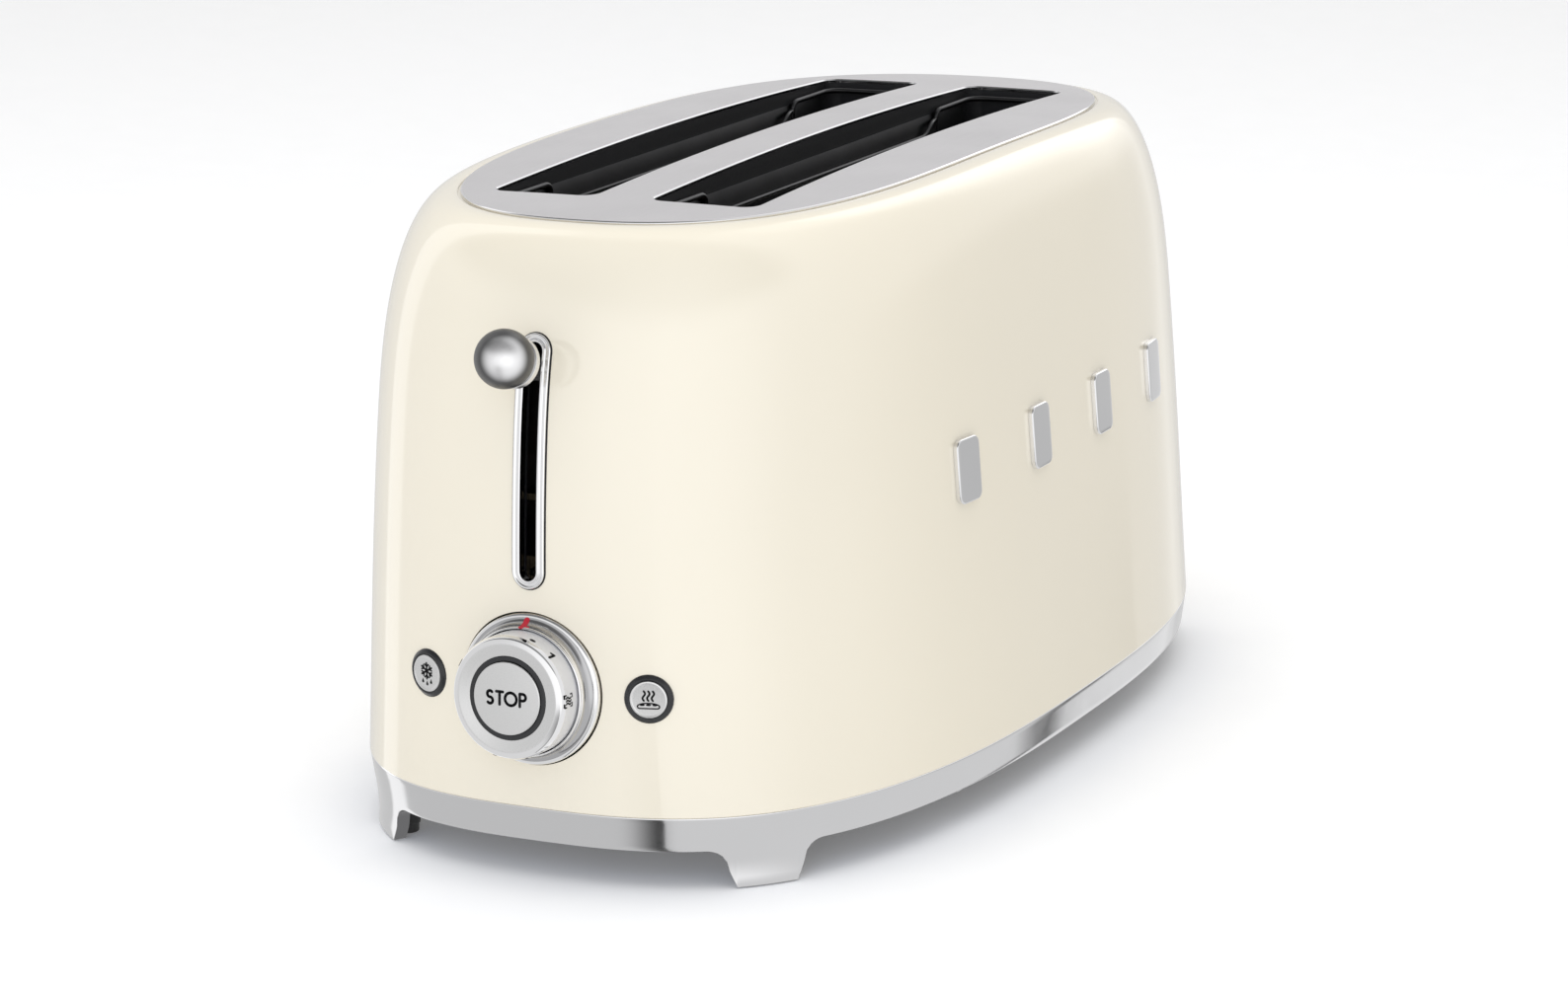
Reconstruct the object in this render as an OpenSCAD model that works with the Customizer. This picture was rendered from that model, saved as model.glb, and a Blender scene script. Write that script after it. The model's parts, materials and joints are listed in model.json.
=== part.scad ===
// Long-slot pop-up toaster: a crowned metal casing on a chrome foot band, with its
// toasting chamber, sprung bread carriage, controls and crumb tray.
// Millimetres, +Z up, resting plane at z = 0, controls towards -Y.

/* [Casing] */
// Width of the casing at its base
base_w = 215; // [205:1:225]
// Length of the casing at its base
base_l = 393; // [380:1:400]
// Height of the crown of the top plate
top_z = 208; // [204:1:212]
// Height of the top edge of the foot band
band_top = 24.3; // [22:0.1:26]
// Height of the lower edge of the foot band
band_low = 12.8; // [12:0.1:14]
// Sheet thickness of the painted casing
wall = 1.2; // [1:0.1:1.5]
// Width of the top plate
plate_w = 149.4; // [146:0.2:152]
// Length of the top plate
plate_l = 321; // [316:1:324]

/* [Bread slots] */
// Distance from the middle plane to the inner edge of each slot
slot_in = 12.3; // [12:0.1:13]
// Distance from the middle plane to the outer edge of each slot
slot_out = 45.7; // [45:0.1:46.5]
// Length of each slot
slot_l = 253.6; // [250:0.2:256]
// Radius of the slot corners
slot_r = 8; // [6:0.5:9]

/* [Controls] */
// Travel of the bread carriage
lift_travel = 60; // [50:1:60]
// Diameter of the ball on the lever
ball_d = 17.4; // [16:0.2:18.4]
// Height of the middle of the browning dial
dial_z = 62.5; // [61:0.5:64]
// Diameter of the browning dial
dial_d = 39; // [38:0.5:39.5]
// Diameter of the fixed ring round the dial
bezel_d = 48; // [47:0.5:50]
// Distance of each push button from the middle plane
button_x = 38.5; // [37:0.5:39]
// Diameter of the ring round each push button
button_ring_d = 15.4; // [15:0.2:16]

/* [Inside] */
// Width of the crumb tray
tray_w = 100; // [90:1:100]
// Distance of the guide rods from the middle plane
rod_x = 18; // [17:0.5:18]
// Radius of the guide rods
rod_r = 2; // [1.8:0.1:2]
// Bore of the cord gland
gland_bore = 7.2; // [6.5:0.1:8]

/* [Hidden] */
eps = 0.02;

// Casing form: superellipse outlines whose half sizes shrink with height
outline_steps = 96;
side_taper = 13.5;
end_taper = 17.4;
shoulder_z = 137.6;
shoulder_pow = 2.66;
crown_side = 0.81;
crown_end = 3.53;
rim_drop = 0.7;
plate_t = 1.3;
mouth_half = [plate_w / 2 + 1.3, plate_l / 2 + 1.5];
pow_low = [2.8, 2.81];
pow_top = [2.38, 3.48];

// Feet: each stands at a corner of the band and faces outwards
foot_at = [72, 171];
foot_turn = 40.6;
foot_w = 18;
foot_fillet = 7;
band_t = 2.5;
leg_t = 7;
pad_lift = 0.5;
pad_in = 20.5;
screw_at = [95.5, 90];

// Lever slot and lever
slot_mid_z = 132.8;
slot_trim_h = 79.8;
slot_trim_w = 11;
slot_gap = 5.7;
slot_gap_h = 73.8;
lever_y = -205.8;
lever_z = 170;
lever_tilt = 20;
arm_z = 162;

// Dial and buttons: the dial's own frame leans back with the casing
dial_y = -195;
dial_tilt = 3.2;
button_turn = 17;
button_z = 62.3;
column_r = 13.2;
dial_face = 16.6;
stop_r = 11.5;

// Carriage and chassis
bulkhead_y = 141;
sheet = 1.2;
rod_y = -151;
bracket_y = -157;
lifter_z = 100;
slot_x = (slot_in + slot_out) / 2;
tray_z = 16.2;
floor_z = 15;
board_back = 17;

// The frame's origin is the middle of the whole object's box
front_reach = -lever_y + ball_d / 2;
rear_reach = base_l / 2 + 2;
body_y = (front_reach - rear_reach) / 2;

cream = [0.94, 0.91, 0.82];
steel = [0.78, 0.77, 0.78];
chrome = [0.86, 0.87, 0.89];
zinc = [0.62, 0.63, 0.64];
black = [0.08, 0.08, 0.09];
rubber = [0.12, 0.12, 0.12];
mica = [0.80, 0.76, 0.66];
copper = [0.72, 0.42, 0.22];

module placed() {
  translate([0, body_y, 0]) children();
}

// ---- casing form ----
function signed_pow(v, e) = sign(v) * pow(abs(v), e);
function rise(z) = (z - band_top) / (top_z - band_top);
function shoulder_v(z) = max(0, (z - shoulder_z) / (top_z - shoulder_z));
function roll(z) = 1 - pow(max(0, 1 - pow(shoulder_v(z), shoulder_pow)), 1 / shoulder_pow);
function half_b(z) = base_w / 2 - side_taper * pow(rise(z), 0.93)
  - (base_w / 2 - side_taper - mouth_half[0]) * roll(z);
function half_a(z) = base_l / 2 - end_taper * pow(rise(z), 3)
  - (base_l / 2 - end_taper - mouth_half[1]) * roll(z);
function powers(u) = pow_low + (pow_top - pow_low) * u;
function oval(b, a, pw, n = outline_steps) = [for (i = [0 : n - 1])
  let (t = 360 * i / n)
  [b * signed_pow(cos(t), 2 / pw[0]), a * signed_pow(sin(t), 2 / pw[1])]];
function crown_fall(p) = crown_side * pow(p[0] / 70, 2) + crown_end * pow(p[1] / 150, 2);
function casing_ring(z, off) = [for (p = oval(half_b(z) + off, half_a(z) + off, powers(rise(z))))
  [p[0], p[1], z + min(0, off) * pow(shoulder_v(z), 4)
    - pow(shoulder_v(z), 2) * (rim_drop + crown_fall(p))]];
function shoulder_level(i, n) = shoulder_z
  + (top_z - shoulder_z) * pow(sin(90 * i / n), 2 / shoulder_pow);
levels = concat([for (z = [band_top : 28 : 130]) z], [for (i = [0 : 8]) shoulder_level(i, 8)]);

// Closed solid through a stack of rings, closed by a flat fan under the first ring and
// a fan to its middle over the last ring
module loft(rings) {
  n = len(rings[0]);
  m = len(rings);
  low = rings[0][0][2];
  high = rings[m - 1][n / 4][2] + 0.01;
  sides = [for (k = [0 : m - 2]) for (i = [0 : n - 1]) let (j = (i + 1) % n)
    each [[k * n + i, (k + 1) * n + i, (k + 1) * n + j], [k * n + i, (k + 1) * n + j, k * n + j]]];
  polyhedron(
    points = concat([for (r = rings) each r], [[0, 0, low], [0, 0, high]]),
    faces = concat(sides,
      [for (i = [0 : n - 1]) [i, (i + 1) % n, m * n]],
      [for (i = [0 : n - 1]) [(m - 1) * n + (i + 1) % n, (m - 1) * n + i, m * n + 1]]));
}

// The casing's own solid, grown or shrunk by off
module casing(off = 0) {
  loft([for (z = levels) casing_ring(z, off)]);
}

// Solid under a crowned oval face, from z = low up to drop below the crown
function crown_ring(k, drop) = [for (p = oval(plate_w / 2 * k, plate_l / 2 * k, pow_top))
  [p[0], p[1], top_z - drop - crown_fall(p)]];
module crowned(low, drop, k = 1) {
  loft(concat([[for (p = crown_ring(k, drop)) [p[0], p[1], low]]],
    [for (s = [1, 0.8, 0.55, 0.3]) crown_ring(k * s, drop)]));
}

function band_half(z) = [base_w / 2, base_l / 2] - [1, 1] * 3.3 * (1 - z / band_top);
function band_ring(z, off) = [for (p = oval(band_half(z)[0] + off, band_half(z)[1] + off, pow_low))
  [p[0], p[1], z]];
module band_solid(off, low = 0, high = band_top) {
  loft([band_ring(low, off), band_ring(high, off)]);
}
module band_slab(off, low, high) {
  translate([0, 0, low]) linear_extrude(high - low)
    polygon(oval(base_w / 2 + off, base_l / 2 + off, pow_low));
}

// ---- shared shapes ----
module box(x, y, z) {
  translate([x[0], y[0], z[0]]) cube([x[1] - x[0], y[1] - y[0], z[1] - z[0]]);
}
module disc_ring(r_out, r_in, h) {
  difference() {
    cylinder(r = r_out, h = h, $fn = 64);
    translate([0, 0, -1]) cylinder(r = r_in, h = h + 2, $fn = 64);
  }
}
// Upright prism with round corners
module round_prism(x, y, z, r) {
  box([x[0] + r, x[1] - r], y, z);
  box(x, [y[0] + r, y[1] - r], z);
  for (cx = [x[0] + r, x[1] - r], cy = [y[0] + r, y[1] - r])
    translate([cx, cy, z[0]]) cylinder(r = r, h = z[1] - z[0], $fn = 48);
}
// Long hole with round ends, cut through the front wall along Y
module stadium_y(w, h, y) {
  box([-w / 2, w / 2], y, [slot_mid_z - (h - w) / 2, slot_mid_z + (h - w) / 2]);
  for (s = [-1, 1]) translate([0, y[1], slot_mid_z + s * (h - w) / 2])
    rotate([90, 0, 0]) cylinder(d = w, h = y[1] - y[0], $fn = 48);
}
module rod_y(x, z, y, r) {
  translate([x, y[1], z]) rotate([90, 0, 0]) cylinder(r = r, h = y[1] - y[0], $fn = 24);
}
// Local +Z points out of the casing along the dial's axis, local +Y up
module at_dial() {
  translate([0, dial_y, dial_z]) rotate([90 - dial_tilt, 0, 0]) children();
}
// Local +Z points straight out of the casing at a push button, side = -1 or 1
button_y = -191;
module at_button(side) {
  translate([side * button_x, button_y, button_z]) rotate([90, 0, side * button_turn]) children();
}
// The lever's frame: local +Z from the arm out through the ball's centre
module at_lever() {
  translate([0, lever_y, lever_z]) rotate([90 - lever_tilt, 0, 0]) children();
}
// Foot outline across its face: straight sides that sweep out into the band
function foot_side(s) = [for (i = [0 : 6]) let (t = 15 * i)
  [s * (foot_w / 2 + 3 + foot_fillet * (1 - cos(t))), band_low - foot_fillet * (1 - sin(t))]];
function reversed(v) = [for (i = [len(v) - 1 : -1 : 0]) v[i]];
module foot_prism() {
  rotate([90, 0, 90]) linear_extrude(40)
    polygon(concat([[-foot_w / 2, pad_lift]], [[foot_w / 2, pad_lift]], foot_side(1),
      [[foot_w / 2 + 10, band_low + 1], [-foot_w / 2 - 10, band_low + 1]], reversed(foot_side(-1))));
}
module at_foot(sx, sy) {
  translate([sx * foot_at[0], sy * foot_at[1], 0])
    rotate([0, 0, sy > 0 ? 90 - sx * (90 - foot_turn) : -90 + sx * (90 - foot_turn)]) children();
}

// ---- outer pieces ----
module body_shell() {
  color(cream) placed() difference() {
    casing(0);
    casing_cavity();
    round_mouth();
    stadium_y(slot_trim_w - 2.4, slot_trim_h - 2.4, [-230, -150]);
    at_dial() translate([0, 0, -12]) cylinder(d = bezel_d + 0.2, h = 30, $fn = 96);
    for (s = [-1, 1]) at_button(s) translate([0, 0, -12])
      cylinder(d = button_ring_d + 0.1, h = 30, $fn = 48);
    translate([0, 180, gland_z]) rotate([-90, 0, 0]) cylinder(r = 8.05, h = 40, $fn = 48);
  }
}
module casing_cavity() {
  translate([0, 0, -eps]) casing(-wall);
}
// The opening that the top plate fills
module round_mouth() {
  translate([0, 0, 190]) linear_extrude(30)
    polygon(oval(plate_w / 2 + 0.1, plate_l / 2 + 0.1, pow_top));
}
gland_z = 45;

module top_plate() {
  color(steel) placed() difference() {
    crowned(190, 0);
    crowned(180, plate_t, 1.05);
    for (s = [-1, 1]) slot_prism(s, 0, [180, 220]);
  }
}
module slot_prism(s, grow, z) {
  x = s > 0 ? [slot_in - grow, slot_out + grow] : [-slot_out - grow, -slot_in + grow];
  round_prism(x, [-slot_l / 2 - grow, slot_l / 2 + grow], z, slot_r + grow);
}
module slot_liner(s) {
  color(black) placed() difference() {
    intersection() {
      crowned(188.5, plate_t + 0.05, 0.97);
      slot_prism(s, 1, [180, 220]);
    }
    slot_prism(s, 0, [180, 220]);
  }
}
module slot_liner_left() { slot_liner(-1); }
module slot_liner_right() { slot_liner(1); }

module base_ring() {
  color(chrome) placed() difference() {
    union() {
      difference() {
        band_solid(0);
        translate([0, 0, -eps]) band_solid(-band_t, 0, band_top + 1);
        difference() {
          box([-130, 130], [-220, 220], [-1, band_low]);
          for (sx = [-1, 1], sy = [-1, 1]) at_foot(sx, sy) translate([-20, 0, 0]) foot_prism();
        }
        box([-130, 130], [-220, 220], [-1, pad_lift]);
      }
      intersection() {
        difference() {
          band_solid(0);
          translate([0, 0, -eps]) band_solid(-leg_t, 0, band_top + 1);
          box([-130, 130], [-220, 220], [band_low, 30]);
          box([-130, 130], [-220, 220], [-1, pad_lift]);
        }
        for (sx = [-1, 1], sy = [-1, 1]) at_foot(sx, sy) translate([-20, 0, 0]) foot_prism();
      }
      for (sx = [-1, 1], sy = [-1, 1]) translate([sx * screw_at[0], sy * screw_at[1], floor_z + 0.1])
        cylinder(r = 5, h = 8, $fn = 32);
    }
    for (sx = [-1, 1], sy = [-1, 1]) translate([sx * screw_at[0], sy * screw_at[1], 10])
      cylinder(r = 1.8, h = 11, $fn = 24);
    box([-tray_w / 2 - 0.6, tray_w / 2 + 0.6], [150, 220], [14.6, 30]);
    difference() {
      box([-130, 130], [-220, 220], [10, 30]);
      band_slab(0.5, 5, 35);
    }
  }
}
module base_plate() {
  color(black) placed() difference() {
    band_solid(-band_t - 0.3, band_low + 0.2, floor_z - eps);
    for (sx = [-1, 1], sy = [-1, 1]) translate([sx * screw_at[0], sy * screw_at[1], 10])
      cylinder(r = 1.9, h = 10, $fn = 24);
    for (i = [-5 : 5]) for (s = [-1, 1])
      box([s * 78 - 14, s * 78 + 14], [i * 13 - 2, i * 13 + 2], [10, 20]);
  }
}
module foot_pad(sx, sy) {
  color(rubber) placed() at_foot(sx, sy) translate([-pad_in, 0, 0]) {
    cylinder(r = 8, h = 3, $fn = 48);
    translate([0, 0, 3]) cylinder(r = 9, h = band_low + 0.2 - 3, $fn = 48);
  }
}
module foot_pad_front_left() { foot_pad(-1, -1); }
module foot_pad_front_right() { foot_pad(1, -1); }
module foot_pad_rear_left() { foot_pad(-1, 1); }
module foot_pad_rear_right() { foot_pad(1, 1); }

module base_screws() {
  color(zinc) placed() for (sx = [-1, 1], sy = [-1, 1]) translate([sx * screw_at[0], sy * screw_at[1], 0]) {
    difference() {
      translate([0, 0, band_low - 1.8]) cylinder(r = 3, h = 2, $fn = 32);
      for (a = [0, 90]) rotate([0, 0, a]) box([-2, 2], [-0.4, 0.4], [10, band_low - 0.8]);
    }
    translate([0, 0, band_low + 0.1]) cylinder(r = 1.7, h = 7.8, $fn = 24);
  }
}

module lever_slot_trim() {
  color(chrome) placed() difference() {
    union() {
      intersection() {
        stadium_y(slot_trim_w, slot_trim_h, [-230, -150]);
        difference() { casing(1); casing(0.03); }
      }
      intersection() {
        stadium_y(slot_trim_w - 2.5, slot_trim_h - 2.5, [-230, -150]);
        difference() { casing(0.5); casing(-2.4); }
      }
    }
    stadium_y(slot_gap, slot_gap_h, [-240, -140]);
  }
}
module lever_slot_guard() {
  color(black) placed() difference() {
    intersection() {
      box([-13, 13], [-230, -150], [90, 180]);
      difference() { casing(-2.5); casing(-3.7); }
    }
    stadium_y(slot_gap, slot_gap_h, [-240, -140]);
  }
}
module dial_bezel() {
  r = bezel_d / 2;
  color(chrome) placed() at_dial() rotate_extrude($fn = 96)
    polygon(concat([[19.9, -6], [20.9, -6], [20.9, -1.6], [r, -1.6]],
      [for (i = [0 : 4]) let (t = 22.5 * i) [r - 1.2 + 1.2 * cos(t), 1.4 + 1.2 * sin(t)]],
      [for (i = [0 : 4]) let (t = 22.5 * i) [r - 1.2 - 2.3 * sin(t), 6.4 - 3.8 * cos(t)]],
      [[20.3, 7], [19.9, 7]]));
}
module stop_light_ring() {
  color([0.16, 0.16, 0.17]) placed() at_dial() translate([0, 0, -14])
    disc_ring(column_r, stop_r + 0.1, 14 + dial_face - 0.5);
}
module button_ring(side) {
  color([0.2, 0.2, 0.21]) placed() at_button(side) translate([0, 0, -8])
    disc_ring(button_ring_d / 2, 6, 9.4);
}
module defrost_ring() { button_ring(-1); }
module bagel_ring() { button_ring(1); }

// Plain raised studs in a row on the long side
stud_row = [-82, -27.5, 27.5, 82];
stud_z = 116;
stud_half = [7, 10.5];
stud_r = 3;
module stud_prism(y) {
  flat = stud_half - [stud_r, stud_r];
  box([60, 130], [y - stud_half[0], y + stud_half[0]], [stud_z - flat[1], stud_z + flat[1]]);
  box([60, 130], [y - flat[0], y + flat[0]], [stud_z - stud_half[1], stud_z + stud_half[1]]);
  for (sy = [-1, 1], sz = [-1, 1]) translate([60, y + sy * flat[0], stud_z + sz * flat[1]])
    rotate([0, 90, 0]) cylinder(r = stud_r, h = 70, $fn = 32);
}
module side_studs() {
  color(chrome) placed() intersection() {
    difference() { casing(1.8); casing(0.05); }
    union() { for (y = stud_row) stud_prism(y); }
  }
}
module cord_gland() {
  color(black) placed() translate([0, base_l / 2, gland_z]) rotate([-90, 0, 0]) difference() {
    union() {
      translate([0, 0, -10]) cylinder(r = 8, h = 11, $fn = 48);
      translate([0, 0, 0.4]) cylinder(r = 10, h = 1.6, $fn = 48);
      translate([0, 0, -8]) cylinder(r = 10, h = 4, $fn = 48);
    }
    translate([0, 0, -20]) cylinder(d = gland_bore, h = 40, $fn = 48);
  }
}

// ---- chassis and toasting chamber ----
module bulkhead(y, notch) {
  translate([0, y, 0]) rotate([90, 0, 0]) linear_extrude(sheet) difference() {
    polygon([[-63, floor_z], [63, floor_z], [63, 188], [-63, 188]]);
    for (s = [-1, 1]) translate([s * slot_x - 3.4, 34]) square([6.8, 76]);
    if (notch) translate([-53.6, floor_z - 1]) square([107.2, 11.5]);
  }
}
module chassis_front() {
  color(zinc) placed() bulkhead(-bulkhead_y, false);
}
module chassis_rear() {
  color(zinc) placed() bulkhead(bulkhead_y + sheet, true);
}
// Side reflector: upright sheet that leans in towards the slot at its top
module reflector(side) {
  color(zinc) placed() translate([0, bulkhead_y - 0.05, 0]) rotate([90, 0, 0])
    linear_extrude(2 * bulkhead_y - 0.1) scale([side, 1])
      polygon([[59, floor_z + 12], [60, floor_z + 12], [60, 158], [50, 187], [49, 187], [59, 158]]);
}
module reflector_left() { reflector(-1); }
module reflector_right() { reflector(1); }
module centre_divider() {
  color(zinc) placed() box([-0.5, 0.5], [-bulkhead_y + 0.05, bulkhead_y - 0.05], [27, 187]);
}
element_x = [52, 7.5];
// Mica board with ribbon wire wound flat on both faces
module element(x) {
  placed() {
    color(mica) box([x - 0.5, x + 0.5], [-bulkhead_y + 0.3, bulkhead_y - 0.3], [44, 156]);
    color(copper) for (i = [0 : 8]) for (f = [-1, 1])
      box([x + f * 0.75 - 0.22, x + f * 0.75 + 0.22], [-128, 128], [52 + 12 * i, 54 + 12 * i]);
  }
}
module element_outer_left() { element(-element_x[0]); }
module element_inner_left() { element(-element_x[1]); }
module element_inner_right() { element(element_x[1]); }
module element_outer_right() { element(element_x[0]); }

// Wire cage that centres the bread: upright wires between two rails
module bread_guide(x) {
  color(chrome) placed() {
    for (z = [47, 184]) rod_y(x, z, [-126, 126], 1.3);
    for (i = [-5 : 5]) translate([x, 24 * i, 47]) cylinder(r = 0.9, h = 137, $fn = 16);
  }
}
guide_x = [43, 15];
module bread_guide_outer_left() { bread_guide(-guide_x[0]); }
module bread_guide_inner_left() { bread_guide(-guide_x[1]); }
module bread_guide_inner_right() { bread_guide(guide_x[1]); }
module bread_guide_outer_right() { bread_guide(guide_x[0]); }

// ---- carriage ----
module lever_knob() {
  color(chrome) placed() at_lever() difference() {
    sphere(d = ball_d, $fn = 96);
    translate([0, 0, -20]) cylinder(r = 12, h = 15.5, $fn = 48);
  }
}
module lever_collar() {
  color(steel) placed() at_lever() translate([0, 0, -7.5]) {
    cylinder(r = 8.1, h = 3, $fn = 64);
    translate([0, 0, -15]) cylinder(r = 2.2, h = 15, $fn = 32);
  }
}
module lever_arm() {
  color(zinc) placed() difference() {
    box([-2.4, 2.4], [-188, bracket_y - sheet], [arm_z - 3.6, arm_z + 3]);
    at_lever() translate([0, 0, -30]) cylinder(r = 2.23, h = 30, $fn = 32);
  }
}
module carriage_bracket() {
  color(zinc) placed() difference() {
    union() {
      box([-33, 33], [bracket_y - sheet, bracket_y], [94, 112]);
      box([-12, 12], [bracket_y - sheet, bracket_y], [94, 118]);
      box([-23, 23], [bracket_y - sheet, bracket_y], [117, 167]);
      box([-1.5, 1.5], [bracket_y - 0.5, rod_y + 1], [114, 115.2]);
    }
    box([-9, 9], [-170, -140], [122, 152]);
  }
}
module carriage_bushes() {
  color([0.9, 0.9, 0.86]) placed() for (s = [-1, 1]) for (z = [96, 152]) difference() {
    union() {
      translate([s * rod_x, rod_y, z]) cylinder(r = 4.4, h = 12, $fn = 32);
      box([s * rod_x - 3, s * rod_x + 3], [bracket_y, rod_y - 2], [z, z + 12]);
    }
    translate([s * rod_x, rod_y, z - 1]) cylinder(r = rod_r + 0.05, h = 14, $fn = 32);
  }
}
module keeper_plate() {
  color(steel) placed() {
    box([-12, 12], [-173, bracket_y - sheet], [92, 94]);
    box([-12, 12], [bracket_y - 2 * sheet, bracket_y - sheet], [92, 104]);
  }
}
module bread_lifter(s) {
  color(zinc) placed() translate([s * slot_x, 0, 0]) difference() {
    union() {
      box([-5.5, 5.5], [-138, 138], [lifter_z - 1, lifter_z]);
      box([-2.5, 2.5], [bracket_y, 147], [lifter_z - 1, lifter_z]);
      box([-0.6, 0.6], [-138, 138], [lifter_z - 5, lifter_z - 0.5]);
      for (y = [-120, -72, -24, 24, 72, 120]) for (f = [-1, 1])
        box([f * 5 - 0.5, f * 5 + 0.5], [y - 3, y + 3], [lifter_z - 0.5, lifter_z + 5]);
    }
  }
}
module bread_lifter_left() { bread_lifter(-1); }
module bread_lifter_right() { bread_lifter(1); }

module guide_rods() {
  color(steel) placed() for (s = [-1, 1]) translate([s * rod_x, rod_y, 27])
    cylinder(r = rod_r, h = 158, $fn = 32);
}
module rod_brackets() {
  color(zinc) placed() for (z = [27.5, 182.5]) difference() {
    box([-25, 25], [bracket_y + 1, -bulkhead_y - sheet], [z, z + 2]);
    for (s = [-1, 1]) translate([s * rod_x, rod_y, z - 1]) cylinder(r = rod_r + 0.03, h = 4, $fn = 32);
  }
}
module magnet_core() {
  color(zinc) placed() {
    box([-13, 13], [-172, -162], [floor_z, floor_z + 4]);
    for (x = [-11, 0, 11]) box([x - 2, x + 2], [-172, -162], [floor_z + 3.9, 31.7]);
  }
}
module magnet_coil() {
  color(copper) placed() difference() {
    round_prism([-7, 7], [-175, -159], [floor_z + 4.5, 30.5], 3);
    box([-2.1, 2.1], [-172.1, -161.9], [10, 40]);
  }
}
// Wire swept along points
function dirs(p) = [for (i = [0 : len(p) - 1])
  let (a = p[max(i - 1, 0)], b = p[min(i + 1, len(p) - 1)]) (b - a) / norm(b - a)];
module swept(path, r, n, ref) {
  d = dirs(path);
  rings = [for (i = [0 : len(path) - 1])
    let (u0 = cross(ref, d[i]), u = u0 / norm(u0), v = cross(d[i], u))
    [for (k = [0 : n - 1]) path[i] + r * (cos(360 * k / n) * u + sin(360 * k / n) * v)]];
  m = len(rings);
  polyhedron(points = [for (q = rings) each q], faces = concat(
    [for (k = [0 : m - 2]) for (i = [0 : n - 1]) let (j = (i + 1) % n)
      each [[k * n + i, (k + 1) * n + i, (k + 1) * n + j], [k * n + i, (k + 1) * n + j, k * n + j]]],
    [[for (i = [0 : n - 1]) i]], [[for (i = [n - 1 : -1 : 0]) (m - 1) * n + i]]));
}
spring_turns = 9;
module return_spring() {
  steps = 12;
  color(steel) placed() swept([for (i = [0 : spring_turns * steps])
    let (t = 360 * i / steps) [3.6 * cos(t), rod_y + 3.6 * sin(t), 117 + 64 * i / (spring_turns * steps)]],
    0.6, 6, [0, 0, 1]);
}

// ---- controls ----
module control_board() {
  color([0.1, 0.35, 0.2]) placed() at_dial() translate([0, 0, -board_back - 1.6]) {
    difference() {
      box([-50, 50], [-30, 26], [0, 1.6]);
      translate([0, 0, -1]) cylinder(r = 5, h = 4, $fn = 32);
    }
  }
}
module dial_encoder() {
  color(black) placed() at_dial() translate([0, 0, -board_back]) disc_ring(19.5, 16.8, 8);
}
module tact_switches() {
  color(black) placed() {
    at_dial() translate([0, 0, -board_back]) box([-3, 3], [-3, 3], [0, 2]);
    for (s = [-1, 1]) at_dial() translate([s * 34.6, 0, -board_back]) box([-3, 3], [-3, 3], [0, 3]);
  }
}
module dial_knob() {
  r = dial_d / 2;
  color(chrome) placed() at_dial() rotate_extrude($fn = 96)
    polygon([[column_r + 0.06, -1], [r - 1, -1], [r - 1, 4.5], [r, 5.5], [r, dial_face - 1.8],
      [r - 0.6, dial_face - 0.7], [r - 2.2, dial_face], [column_r + 1.2, dial_face - 0.4],
      [column_r + 0.06, dial_face - 0.7]]);
}
module dial_rotor() {
  color([0.85, 0.85, 0.83]) placed() at_dial() translate([0, 0, -board_back + 0.8])
    disc_ring(16.4, column_r + 0.06, board_back - 1.85);
}
module stop_button() {
  color(chrome) placed() at_dial() {
    translate([0, 0, dial_face - 4.2]) cylinder(r = stop_r, h = 4.3, $fn = 64);
    translate([0, 0, -board_back + 3.8]) cylinder(r = 3, h = board_back + dial_face - 7.8, $fn = 32);
  }
}
module push_button(side) {
  color(chrome) placed() at_button(side) {
    translate([0, 0, -5]) cylinder(r = 5.9, h = 6.8, $fn = 48);
    translate([0, 0, -8.4]) cylinder(r = 2, h = 3.6, $fn = 32);
  }
}
module defrost_button() { push_button(-1); }
module bagel_button() { push_button(1); }

module terminal_block() {
  color([0.86, 0.84, 0.78]) placed() difference() {
    box([-62, -34], [bulkhead_y + sheet + 0.05, 158], [30, 44]);
    for (i = [0 : 2]) translate([-56 + 8 * i, 151, 34]) cylinder(r = 2, h = 20, $fn = 24);
  }
}
loom = [[-62.5, 150, 37], [-68, 149, 37], [-75, 143, 37], [-80, 130, 37], [-80, 60, 37],
  [-80, -60, 37], [-80, -120, 37], [-76, -138, 38], [-66, -150, 40], [-56, -162, 42], [-47, -171, 44]];
module wiring_loom() {
  color([0.7, 0.68, 0.64]) placed() swept(loom, 2.5, 10, [0, 0, 1]);
}

// ---- crumb tray ----
module crumb_tray() {
  w = tray_w / 2;
  color(steel) placed() intersection() {
    band_solid(-band_t - 0.1, 5, 35);
    difference() {
      box([-w + 0.4, w - 0.4], [-138, 220], [tray_z, 22.4]);
      intersection() {
        box([-w + 1.2, w - 1.2], [-137.2, 220], [tray_z + 0.8, 30]);
        band_solid(-band_t - 0.9, 5, 35);
      }
    }
  }
}
module tray_handle() {
  w = tray_w / 2;
  color(chrome) placed() difference() {
    intersection() {
      band_solid(0);
      box([-w - 0.3, w + 0.3], [150, 220], [14.9, band_top - 0.3]);
    }
    translate([0, 0, -eps]) band_solid(-band_t, 0, band_top + 1);
  }
}
module tray_rails() {
  color(zinc) placed() for (s = [-1, 1]) difference() {
    box([s * 51.9 - 1.3, s * 51.9 + 1.3], [-139, 176], [floor_z, 20]);
    box([s * 51 - 1.3, s * 51 + 1.3], [-140, 180], [floor_z + 0.9, 21]);
  }
}

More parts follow.
